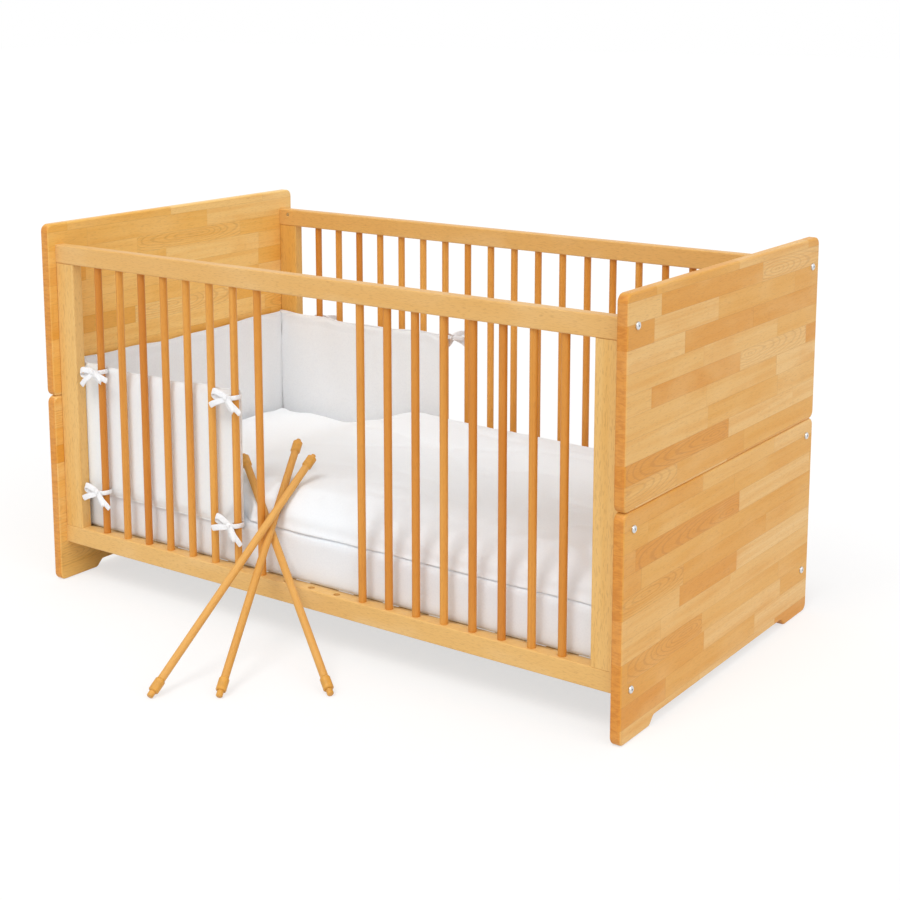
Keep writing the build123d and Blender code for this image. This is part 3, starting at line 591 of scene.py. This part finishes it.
# Meshes
def mesh_piece(name, points, faces, material):
    """New smooth mesh object from points and faces."""
    mesh = bpy.data.meshes.new(name)
    mesh.from_pydata([tuple(p) for p in points], [], faces)
    mesh.materials.append(material)
    mesh.shade_smooth()
    made = bpy.data.objects.new(name, mesh)
    bpy.context.scene.collection.objects.link(made)
    return made


def points_of(mesh):
    """Vertex places of a mesh as an array."""
    flat = np.zeros(len(mesh.vertices) * 3, np.float32)
    mesh.vertices.foreach_get("co", flat)
    return flat.reshape(-1, 3).astype(float)


def set_points(mesh, points):
    """Moves a mesh's vertices."""
    mesh.vertices.foreach_set("co", points.astype(np.float32).ravel())
    mesh.update()


def bake(piece):
    """Applies a piece's modifiers to its mesh."""
    material = piece.data.materials[0]
    depsgraph = bpy.context.evaluated_depsgraph_get()
    mesh = bpy.data.meshes.new_from_object(piece.evaluated_get(depsgraph))
    piece.modifiers.clear()
    piece.data = mesh
    mesh.materials.clear()
    mesh.materials.append(material)
    mesh.shade_smooth()


def slab_grid(low, high, cell):
    """Closed box of even cells: points and faces."""
    counts = [max(2, round((b - a) / cell)) for a, b in zip(low, high)]
    index, points, faces = {}, [], []

    def spot(*ijk):
        if ijk not in index:
            index[ijk] = len(points)
            points.append([a + (b - a) * i / n for a, b, i, n in zip(low, high, ijk, counts)])
        return index[ijk]

    for axis in range(3):
        u, v = (axis + 1) % 3, (axis + 2) % 3
        for end, i, j in product((0, counts[axis]), range(counts[u]), range(counts[v])):
            ring = []
            for di, dj in CELL_CORNERS:
                place = [0, 0, 0]
                place[axis], place[u], place[v] = end, i + di, j + dj
                ring.append(spot(*place))
            faces.append(ring if end else ring[::-1])
    return np.array(points), faces


def rounded(points, low, high, low_margin, high_margin):
    """Rounds a box's edges, each side by its own margin."""
    low, high = np.array(low), np.array(high)
    low_margin, high_margin = np.array(low_margin), np.array(high_margin)
    core = np.clip(points, low + low_margin, high - high_margin)
    over = points - core
    margin = np.where(over < 0, low_margin, high_margin)
    share = over / margin
    return core + margin * share / np.maximum(np.linalg.norm(share, axis=1, keepdims=True), TINY)


def soft_step(value, low, high):
    """0 below low, 1 above high, smooth between."""
    t = np.clip((value - low) / (high - low), 0, 1)
    return t * t * (3 - 2 * t)


# Soft pieces
def add_cloth(piece, pressure, growth, pinned):
    """Cloth that pressure fills like stuffing, held at the pinned vertices."""
    cloth = piece.modifiers.new("Cloth", "CLOTH")
    settings = cloth.settings
    settings.quality = 5
    settings.mass = 0.15
    settings.tension_stiffness = 18
    settings.compression_stiffness = 18
    settings.shear_stiffness = 6
    settings.bending_stiffness = 0.4
    settings.shrink_min = -growth
    settings.use_pressure = True
    settings.uniform_pressure_force = pressure
    settings.effector_weights.gravity = 0
    cloth.collision_settings.use_collision = False
    cloth.point_cache.frame_start = 1
    cloth.point_cache.frame_end = SIM_FRAMES
    group = piece.vertex_groups.new(name="seam")
    group.add([int(i) for i in pinned], 1.0, "REPLACE")
    settings.vertex_group_mass = group.name


def swell(caps):
    """Fills all the cloth pieces at once, then keeps each within its cap and applies it."""
    scene = bpy.context.scene
    before = {name: points_of(bpy.data.objects[name].data) for name in caps}
    for step in range(1, SIM_FRAMES + 1):
        scene.frame_set(step)
    for name, cap in caps.items():
        piece = bpy.data.objects[name]
        bake(piece)
        moved = points_of(piece.data) - before[name]
        reach = np.linalg.norm(moved, axis=1, keepdims=True)
        set_points(piece.data, before[name] + moved * np.minimum(1, cap / np.maximum(reach, TINY)))
    scene.frame_set(1)


def ripple(points, scale, seed):
    """Smooth noise of about -1 to 1 at each point."""
    stretch = Vector(scale)
    start = Vector((seed, seed * 0.7, seed * 1.3))
    return np.array([noise.noise(Vector(p) * stretch + start) for p in points])


def ripples(points, layers):
    """Sum of several layers of smooth noise at each point."""
    return sum(ripple(points, scale, seed) * weight for scale, seed, weight in layers)


def clear_of_rungs(points):
    """Presses a trough into the points that lie over or round a loose rung."""
    for rung in RUNGS:
        middle, axis = rung_axis(rung)
        out = (Z - axis * axis.z).normalized()
        side = np.array(axis.cross(out))
        offset = points - np.array(middle)
        aside = np.abs(offset @ side)
        rise = offset @ np.array(out)
        limit = RUNG_DENT_SLOPE * aside**2 / (aside + RUNG_DENT_ROUND) - RUNG_DENT_RADIUS
        points = points - np.outer(np.maximum(0, rise - limit), np.array(out))
    return points


def smooth_subdivide(piece):
    """One level of smooth subdivision, applied."""
    sub = piece.modifiers.new("Smooth", "SUBSURF")
    sub.levels = 1
    sub.render_levels = 1
    bake(piece)


def pad_grid(length, height):
    """Grid of a sewn pad: two faces that share their outer edge. Returns points, faces and the edge."""
    across = round(length / PAD_CELL)
    up = round(height / PAD_CELL)
    index, points, faces = {}, [], []

    def key(face, i, j):
        on_edge = i in (0, across) or j in (0, up)
        return (0 if on_edge else face, i, j)

    for face, bulge in ((0, -PAD_OUTER_BULGE), (1, PAD_INNER_BULGE)):
        for i, j in product(range(across + 1), range(up + 1)):
            if key(face, i, j) in index:
                continue
            index[key(face, i, j)] = len(points)
            u, v = i / across, j / up
            full = (1 - abs(2 * u - 1) ** PAD_END_FULLNESS) * (1 - abs(2 * v - 1) ** PAD_EDGE_FULLNESS)
            points.append((u * length, PAD_SEAM_DEPTH + bulge * math.sqrt(max(full, 0)), v * height))
    for face, i, j in product((0, 1), range(across), range(up)):
        ring = [index[key(face, i + di, j + dj)] for di, dj in CELL_CORNERS]
        faces.append(ring if face == 0 else ring[::-1])
    rim = [(i, 0) for i in range(across)] + [(across, j) for j in range(up)]
    rim += [(i, up) for i in range(across, 0, -1)] + [(0, j) for j in range(up, 0, -1)]
    return np.array(points), faces, [index[key(0, i, j)] for i, j in rim]


def bumper_pad(name, material, origin, along, inward, length, height):
    """Sewn pad that stands on a CAD pad's outer face."""
    points, faces, rim = pad_grid(length, height)
    u = points[:, 0] / length
    rise = points[:, 2] / height
    dip = PAD_TOP_DIP * np.sin(np.pi * u) ** 2
    dip += PAD_TOP_WAVE * np.sin(u * PAD_TOP_WAVE_TURN + len(name))
    points[:, 2] -= dip * rise
    points[:, 1] += PAD_FACE_WAVE * np.sin(u * PAD_FACE_WAVE_TURN + rise * PAD_FACE_WAVE_LEAN) * rise
    basis = np.array([along, inward, Z])
    placed = points @ basis + np.array(origin)
    pad = mesh_piece(name, placed, faces, material)
    add_cloth(pad, PAD_PRESSURE, PAD_GROWTH, rim)
    return pad, rim


def wall_faces(rings, sides, closed=False):
    """Faces that join rings of points into a wall, with a cap at each end unless it closes on itself."""
    faces = []
    for i in range(rings if closed else rings - 1):
        here, ahead = i * sides, (i + 1) % rings * sides
        for k in range(sides):
            beside = (k + 1) % sides
            faces.append((here + k, here + beside, ahead + beside, ahead + k))
    if not closed:
        last = (rings - 1) * sides
        faces += [tuple(range(sides - 1, -1, -1)), tuple(range(last, last + sides))]
    return faces


def tube(name, path, radius, material, about=None):
    """Round tube along a path of points: a closed ring, or an open coil about an axis."""
    closed = about is None
    count = len(path)
    points = []
    for i, here in enumerate(path):
        if closed:
            tangent = (path[(i + 1) % count] - path[i - 1]).normalized()
            side = tangent.cross(Z if abs(tangent.z) < STEEP_TANGENT else X).normalized()
        else:
            tangent = (path[min(i + 1, count - 1)] - path[max(i - 1, 0)]).normalized()
            side = tangent.cross(about).normalized()
        up = side.cross(tangent)
        for k in range(TUBE_SIDES):
            turn = 2 * math.pi * k / TUBE_SIDES
            points.append(here + radius * (side * math.cos(turn) + up * math.sin(turn)))
    return mesh_piece(name, points, wall_faces(count, TUBE_SIDES, closed), material)


def keep_between(piece, axis, low, high):
    """Holds a piece's points between two planes."""
    points = points_of(piece.data)
    points[:, axis] = np.clip(points[:, axis], low, high)
    set_points(piece.data, points)


def make_bumper():
    """Three pads, at the front, the back and the head end, ready to be filled."""
    specs = (
        # The front pad wears the cotton painted lighter, the back and head pads the cotton painted darker:
        # painted light and painted shade
        ("bumper_front", front_padding_painted_light, X, Y, 0.0),
        ("bumper_back", padding_painted_shade, X, -Y, 0.0),
        ("bumper_head", padding_painted_shade, Y, X, PAD_CORNER_REACH),
    )
    made = []
    for name, material, along, inward, reach in specs:
        node = f"{name}_pad"
        low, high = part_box(node)
        origin = Vector((low.x, low.y if inward.y >= 0 else high.y, low.z)) - along * reach
        length = (high - low).dot(along) + 2 * reach
        pad, rim = bumper_pad(name, material, origin, along, inward, length, high.z - low.z)
        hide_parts(node)
        made.append((pad, rim, node))
    return made


def finish_bumper(made):
    """Keeps each pad in its place, smooths it and pipes its edge."""
    for pad, rim, node in made:
        low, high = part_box(node)
        thin = min(range(2), key=lambda k: high[k] - low[k])
        keep_between(pad, thin, low[thin], high[thin])
        smooth_subdivide(pad)
        path = [pad.data.vertices[i].co.copy() for i in rim]
        piping = tube(pad.name + "_piping", path, PIPING_RADIUS, pad.data.materials[0])
        for piece in (pad, piping):
            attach(piece, "crib")


def make_springs():
    """A coil in each rung's sleeve, in place of the CAD spring."""
    for rung in RUNGS:
        node, joint_name = f"{rung}_rung_spring", f"{rung}_rung_tip_press"
        joint = joint_named(joint_name)
        press = Vector(joint["axis"]).normalized()
        side = press.cross(Z).normalized()
        lift = side.cross(press)
        middle = rung_axis(rung)[0]
        offset = points_of(frame["nodes"][node].data) - np.array(middle)
        along = offset @ np.array(press)
        near, far = float(along.min()), float(along.max())
        radius = float((offset @ np.array(side)).max()) - SPRING_WIRE_RADIUS
        start, end = near + SPRING_WIRE_RADIUS, far - SPRING_WIRE_RADIUS
        path = []
        for i in range(SPRING_TURNS * SPRING_STEPS + 1):
            turn = 2 * math.pi * i / SPRING_STEPS
            share = i / (SPRING_TURNS * SPRING_STEPS)
            centre = middle + press * (start + (end - start) * share)
            path.append(centre + radius * (side * math.cos(turn) + lift * math.sin(turn)))
        coil = tube(f"{rung}_rung_coil", path, SPRING_WIRE_RADIUS, spring_steel, about=press)
        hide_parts(node)
        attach(coil, f"{rung}_rung")
        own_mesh(coil)


def make_mattress():
    """Mattress in a fitted cover, with soft pulls in its sides."""
    low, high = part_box("mattress")
    points, faces = slab_grid(low, high, MATTRESS_CELL)
    points = rounded(points, low, high, MATTRESS_LOW_ROUND, MATTRESS_HIGH_ROUND)
    middle = (low + high) / 2
    out_y = points[:, 1] - middle.y
    out_x = points[:, 0] - middle.x
    waist = 1 - ((points[:, 2] - middle.z) / (high.z - middle.z)) ** 2
    pulls = ripples(points, MATTRESS_FOLDS) * MATTRESS_FOLD_DEPTH
    side = soft_step(np.abs(out_y), *MATTRESS_SIDE_BAND)
    points[:, 1] -= np.sign(out_y) * side * (MATTRESS_SIDE_TUCK - pulls) * waist
    end = soft_step(np.abs(out_x), *MATTRESS_END_BAND)
    points[:, 0] -= np.sign(out_x) * end * (MATTRESS_END_TUCK - pulls) * waist
    piece = mesh_piece("mattress_cover", points, faces, cover)
    smooth_subdivide(piece)
    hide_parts("mattress")
    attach(piece, "crib")


def quilt_limits(points):
    """Keeps the quilt behind the front bumper and clear of the other pads."""
    low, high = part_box("quilt")
    pad_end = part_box("bumper_front_pad")[1].x
    open_front = soft_step(points[:, 0], *(pad_end + reach for reach in QUILT_OPEN_BAND))
    front = low.y + (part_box("mattress")[0].y - QUILT_OVERHANG - low.y) * open_front
    points[:, 0] = np.clip(points[:, 0], low.x, high.x)
    points[:, 1] = np.clip(points[:, 1], front, high.y)
    return points


def lay_quilt(points, low, high):
    """Lowers the quilt's head end, raises its back and hangs its front edge over the mattress."""
    upper = soft_step(points[:, 2], low.z + QUILT_STILL_HEIGHT, high.z)
    near = soft_step(low.y + QUILT_DRAPE_DEPTH - points[:, 1], 0.0, QUILT_DRAPE_DEPTH)
    under = 1 - soft_step(points[:, 2], low.z, low.z + QUILT_DRAPE_HEIGHT)
    points[:, 2] -= QUILT_HEAD_DROP * upper * (1 - soft_step(points[:, 0], *QUILT_HEAD_BAND))
    foot = soft_step(points[:, 0], *QUILT_FOOT_BAND)
    back = soft_step(points[:, 1] - low.y, *QUILT_BACK_BAND)
    points[:, 2] += QUILT_FOOT_RISE * upper * (foot * back)
    wave = ripple(points * np.array(X), *QUILT_DRAPE_NOISE)
    points[:, 2] -= near * under * (QUILT_DRAPE * (1 + QUILT_DRAPE_WAVE * wave))
    height = (points[:, 2] - low.z + QUILT_BELLY_START) / QUILT_BELLY_HEIGHT
    points[:, 1] -= near * np.sin(np.pi * np.clip(height, 0, 1)) * QUILT_OVERHANG
    return points


def make_quilt():
    """Puffy quilt over the mattress, full at the back and draped over the mattress's front edge."""
    low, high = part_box("quilt")
    low = Vector((low.x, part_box("mattress")[0].y, low.z))
    high = Vector((high.x - QUILT_PUFF, high.y - QUILT_PUFF / 2, high.z + QUILT_RISE - QUILT_PUFF))
    points, faces = slab_grid(low, high, QUILT_CELL)
    low_round = np.tile((QUILT_HEAD_ROUND, QUILT_HEM_ROLL, QUILT_UNDER_ROUND), (len(points), 1))
    above_hem = soft_step(points[:, 2], low.z + QUILT_HEM_HEIGHT, (low.z + high.z) / 2)
    low_round[:, 1] += QUILT_UPPER_ROLL * above_hem
    points = lay_quilt(rounded(points, low, high, low_round, QUILT_HIGH_ROUND), low, high)
    piece = mesh_piece("quilt_cover", quilt_limits(points), faces, cotton)
    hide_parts("quilt")
    under_side = np.where(points[:, 2] < low.z + QUILT_PINNED_HEIGHT)[0]
    add_cloth(piece, QUILT_PRESSURE, QUILT_GROWTH, under_side)
    return piece


def finish_quilt(piece):
    """Gentle swells and creases, waves along the front, and dents under the rungs."""
    low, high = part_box("quilt")
    points = points_of(piece.data)
    lift = soft_step(points[:, 2], low.z + QUILT_STILL_HEIGHT, high.z)
    swells = ripples(points, QUILT_SWELLS)
    from_crease = np.abs(ripple(points, *QUILT_CREASE_NOISE))
    creases = np.clip(1 - from_crease * QUILT_CREASE_SHARPNESS, 0, 1)
    points[:, 2] += lift * (swells - QUILT_CREASE_DEPTH * creases)
    front = soft_step(low.y + QUILT_FRONT_DEPTH - points[:, 1], 0.0, QUILT_FRONT_DEPTH)
    points[:, 1] += front * ripple(points, *QUILT_FRONT_NOISE) * QUILT_FRONT_WAVE
    set_points(piece.data, clear_of_rungs(quilt_limits(points)))
    smooth_subdivide(piece)
    set_points(piece.data, clear_of_rungs(points_of(piece.data)))
    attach(piece, "crib")


# Ribbon bows
def smooth_path(points):
    """Points of a curve through given points."""
    ends = [points[0] * 2 - points[1], *points, points[-1] * 2 - points[-2]]
    path = []
    for a, b, c, d in zip(ends, ends[1:], ends[2:], ends[3:]):
        curve = 2 * a - 5 * b + 4 * c - d
        twist = 3 * b - a - 3 * c + d
        for k in range(RIBBON_STEPS):
            t = k / RIBBON_STEPS
            path.append(0.5 * (2 * b + (c - a) * t + curve * t**2 + twist * t**3))
    return path + [points[-1]]


def ribbon(points, face):
    """Thin flat strip along given points, its width turned from face to face along it."""
    path = smooth_path([Vector(p) / MM_PER_M for p in points])
    turns = smooth_path([Vector(f) for f in face])
    verts = []
    for i, here in enumerate(path):
        ahead = path[min(i + 1, len(path) - 1)] - path[max(i - 1, 0)]
        tangent = ahead.normalized()
        share = i / (len(path) - 1) * (len(turns) - 1)
        flat = turns[int(share)].lerp(turns[min(int(share) + 1, len(turns) - 1)], share - int(share))
        width = tangent.cross(flat).normalized()
        thick = width.cross(tangent).normalized()
        half, thin = width * RIBBON_WIDTH / 2, thick * RIBBON_THICKNESS / 2
        crown = thick * RIBBON_THICKNESS
        verts += [here - half - thin, here - thin + crown, here + half - thin]
        verts += [here + half + thin, here + thin + crown, here - half + thin]
    return verts, wall_faces(len(path), RIBBON_CORNERS)


# Strips of a bow: points in millimetres from the bar (right, outward, up), then the ways that it faces
OUT = (0, 1, 0)
ROUND_BAR = (
    [(-16, 9, 0), (-6, 11.5, 1.5), (4, 10.8, 3), (10.4, 3, 4), (9.6, -8, 4)]
    + [(0, -12.6, 3), (-9.6, -8, 2), (-11, 3, 1), (-15, 8.5, 0)],
    [OUT, OUT, (1, 0.4, 0), (0, -1, 0), (-1, 0, 0), OUT],
)
FAR_LOOP = (
    [(-16, 10, 1), (-22, 13, 6), (-33, 15, 12), (-42, 13, 11)]
    + [(-42, 11, 5), (-33, 10, 2), (-22, 10, 0), (-16, 10, -1)],
    [OUT, (0.2, 1, 0.3), (-1, 0.3, 0.2), (0, -1, -0.3), (0, -1, 0)],
)
BAR_LOOP = (
    [(-16, 11, 0), (-9, 15, -3), (-1, 18, -10), (3, 18, -18)]
    + [(-1, 16, -21), (-7, 14, -14), (-13, 11, -4), (-16, 10, -1)],
    [OUT, (0.5, 1, 0.2), (1, 0.3, -0.3), (-0.4, -1, 0), (-0.6, -1, 0)],
)
FAR_TAIL = (
    [(-16, 11, 0), (-24, 14, -3), (-36, 16, -6), (-50, 15, -11)],
    [OUT, (0, 1, 0.3), (0, 1, -0.2)],
)
BAR_TAIL = (
    [(-16, 11, 0), (-7, 16, -6), (4, 17.5, -14), (15, 16, -25)],
    [OUT, (0.2, 1, 0), (-0.1, 1, 0.2)],
)
KNOT = (
    [(-16, 7.5, 5.5), (-16, 13, 4), (-16, 14.5, 0), (-16, 13, -4), (-16, 7.5, -5.5)],
    [OUT, (0, 1, 0.6), OUT, (0, 1, -0.6), OUT],
)
BOW_STRIPS = (ROUND_BAR, FAR_LOOP, BAR_LOOP, FAR_TAIL, BAR_TAIL, KNOT)


def bow(name, bar, outward, spin):
    """Ribbon round a bar, tied beside it in a bow whose loops and tails hang a little."""
    verts, faces = [], []
    turn = Euler((0, math.radians(spin), 0)).to_matrix()
    right = Vector((-outward.y, 0, 0))
    knot = Vector(ROUND_BAR[0][0]) / MM_PER_M
    for strip in BOW_STRIPS:
        strip_verts, strip_faces = ribbon(*strip)
        spread = 1 if strip is KNOT else BOW_SPREAD
        stretch = Vector((spread, 1, spread))
        start = len(verts)
        for v in strip_verts:
            if strip is not ROUND_BAR:
                v = knot + turn @ (v - knot) * stretch
            verts.append(bar + right * v.x + outward * v.y + Z * v.z)
        faces += [tuple(start + i for i in f) for f in strip_faces]
    piece = mesh_piece(name, verts, faces, satin)
    smooth_subdivide(piece)
    return piece


def make_bows():
    """Eight bows: two heights at the pad's head end and at its free end, front and back."""
    for side, y, outward in (("front", FRONT_BAR_Y, -Y), ("back", BACK_BAR_Y, Y)):
        node = f"bumper_{side}_ties"
        pad_low, pad_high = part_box(f"bumper_{side}_pad")
        head_bar = bars_low.x + BAR_DIAMETER / 2
        free_bar = round((pad_high.x - BAR_DIAMETER) / BAR_PITCH) * BAR_PITCH
        heights = (pad_low.z + BOW_FROM_EDGE, pad_high.z - BOW_FROM_EDGE)
        for count, (x, z) in enumerate(product((head_bar, free_bar), heights)):
            piece = bow(f"{side}_bow_{count}", Vector((x, y, z)), outward, BOW_SPINS[count])
            if count == 0:
                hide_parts(node)
            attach(piece, "crib")


# Studio
def seen_by_camera(tree):
    """1 where the camera sees a surface, directly, in a reflection or through glass."""
    path = tree.nodes.new("ShaderNodeLightPath")
    seen = path.outputs["Is Camera Ray"]
    for ray in ("Is Glossy Ray", "Is Transmission Ray"):
        either = tree.nodes.new("ShaderNodeMath")
        either.operation = "MAXIMUM"
        tree.links.new(seen, either.inputs[0])
        tree.links.new(path.outputs[ray], either.inputs[1])
        seen = either.outputs[0]
    return seen


def make_floor():
    """Pale floor that fades into white and keeps the crib's shadow."""
    half = FLOOR_SIZE / 2
    corners = [(-half, -half, 0), (half, -half, 0), (half, half, 0), (-half, half, 0)]
    material = bpy.data.materials.new("studio_floor")
    material.use_nodes = True
    tree = material.node_tree
    shader = tree.nodes["Principled BSDF"]
    shader.inputs["Roughness"].default_value = 0.9
    shader.inputs["Specular IOR Level"].default_value = 0.0
    shader.inputs["Emission Color"].default_value = (1, 1, 1, 1)
    seen = seen_by_camera(tree)
    for socket, unseen_level, seen_level in (
        ("Base Color", FLOOR_BOUNCE, FLOOR_SHOWN),
        ("Emission Strength", 0.0, FLOOR_LIFT),
    ):
        level = tree.nodes.new("ShaderNodeMapRange")
        level.inputs["To Min"].default_value = unseen_level
        level.inputs["To Max"].default_value = seen_level
        tree.links.new(seen, level.inputs["Value"])
        tree.links.new(level.outputs[0], shader.inputs[socket])
    floor = mesh_piece("studio_floor", [Vector(c) for c in corners], [(0, 1, 2, 3)], material)


def make_world():
    """Even white surroundings: white to the camera, softer as light."""
    world = bpy.data.worlds.new("studio")
    world.use_nodes = True
    tree = world.node_tree
    background = tree.nodes["Background"]
    background.inputs["Color"].default_value = (1, 1, 1, 1)
    level = tree.nodes.new("ShaderNodeMapRange")
    level.inputs["To Min"].default_value = AMBIENT_STRENGTH
    level.inputs["To Max"].default_value = 1.0
    tree.links.new(seen_by_camera(tree), level.inputs["Value"])
    tree.links.new(level.outputs[0], background.inputs["Strength"])
    bpy.context.scene.world = world


def make_lamp(name, source, strength, angle):
    """Wide soft lamp that shines from one direction."""
    lamp = bpy.data.lights.new(name, "SUN")
    lamp.energy = strength
    lamp.angle = math.radians(angle)
    made = bpy.data.objects.new(name, lamp)
    made.rotation_euler = source.to_track_quat("Z", "Y").to_euler()
    bpy.context.scene.collection.objects.link(made)


def make_camera():
    """Camera at the photograph's place, turned and shifted as the photograph is."""
    data = bpy.data.cameras.new("camera")
    data.sensor_width = SENSOR_WIDTH
    data.lens = FOCAL_PIXELS * SENSOR_WIDTH / IMAGE_SIZE
    data.shift_x = 0.5 - PRINCIPAL_POINT[0] / IMAGE_SIZE
    data.shift_y = PRINCIPAL_POINT[1] / IMAGE_SIZE - 0.5
    camera = bpy.data.objects.new("camera", data)
    camera.location = CAMERA_FROM_CRIB + Vector((0, CRIB_Y, 0))
    camera.rotation_euler = (math.pi / 2 - CAMERA_PITCH, 0, CAMERA_YAW)
    bpy.context.scene.collection.objects.link(camera)
    bpy.context.scene.camera = camera


paint_wood()
paint_rungs()
paint_fittings()

make_mattress()
quilt = make_quilt()
bumper = make_bumper()
caps = {pad.name: PAD_SWELL for pad, _, _ in bumper}
caps[quilt.name] = QUILT_SWELL
swell(caps)
finish_quilt(quilt)
finish_bumper(bumper)
make_bows()
make_springs()

make_floor()
make_world()
make_lamp("front_light", FRONT_LIGHT_FROM, FRONT_LIGHT_STRENGTH, FRONT_LIGHT_ANGLE)
make_lamp("side_light", SIDE_LIGHT_FROM, SIDE_LIGHT_STRENGTH, SIDE_LIGHT_ANGLE)
make_camera()
bpy.context.scene.view_settings.view_transform = "Standard"
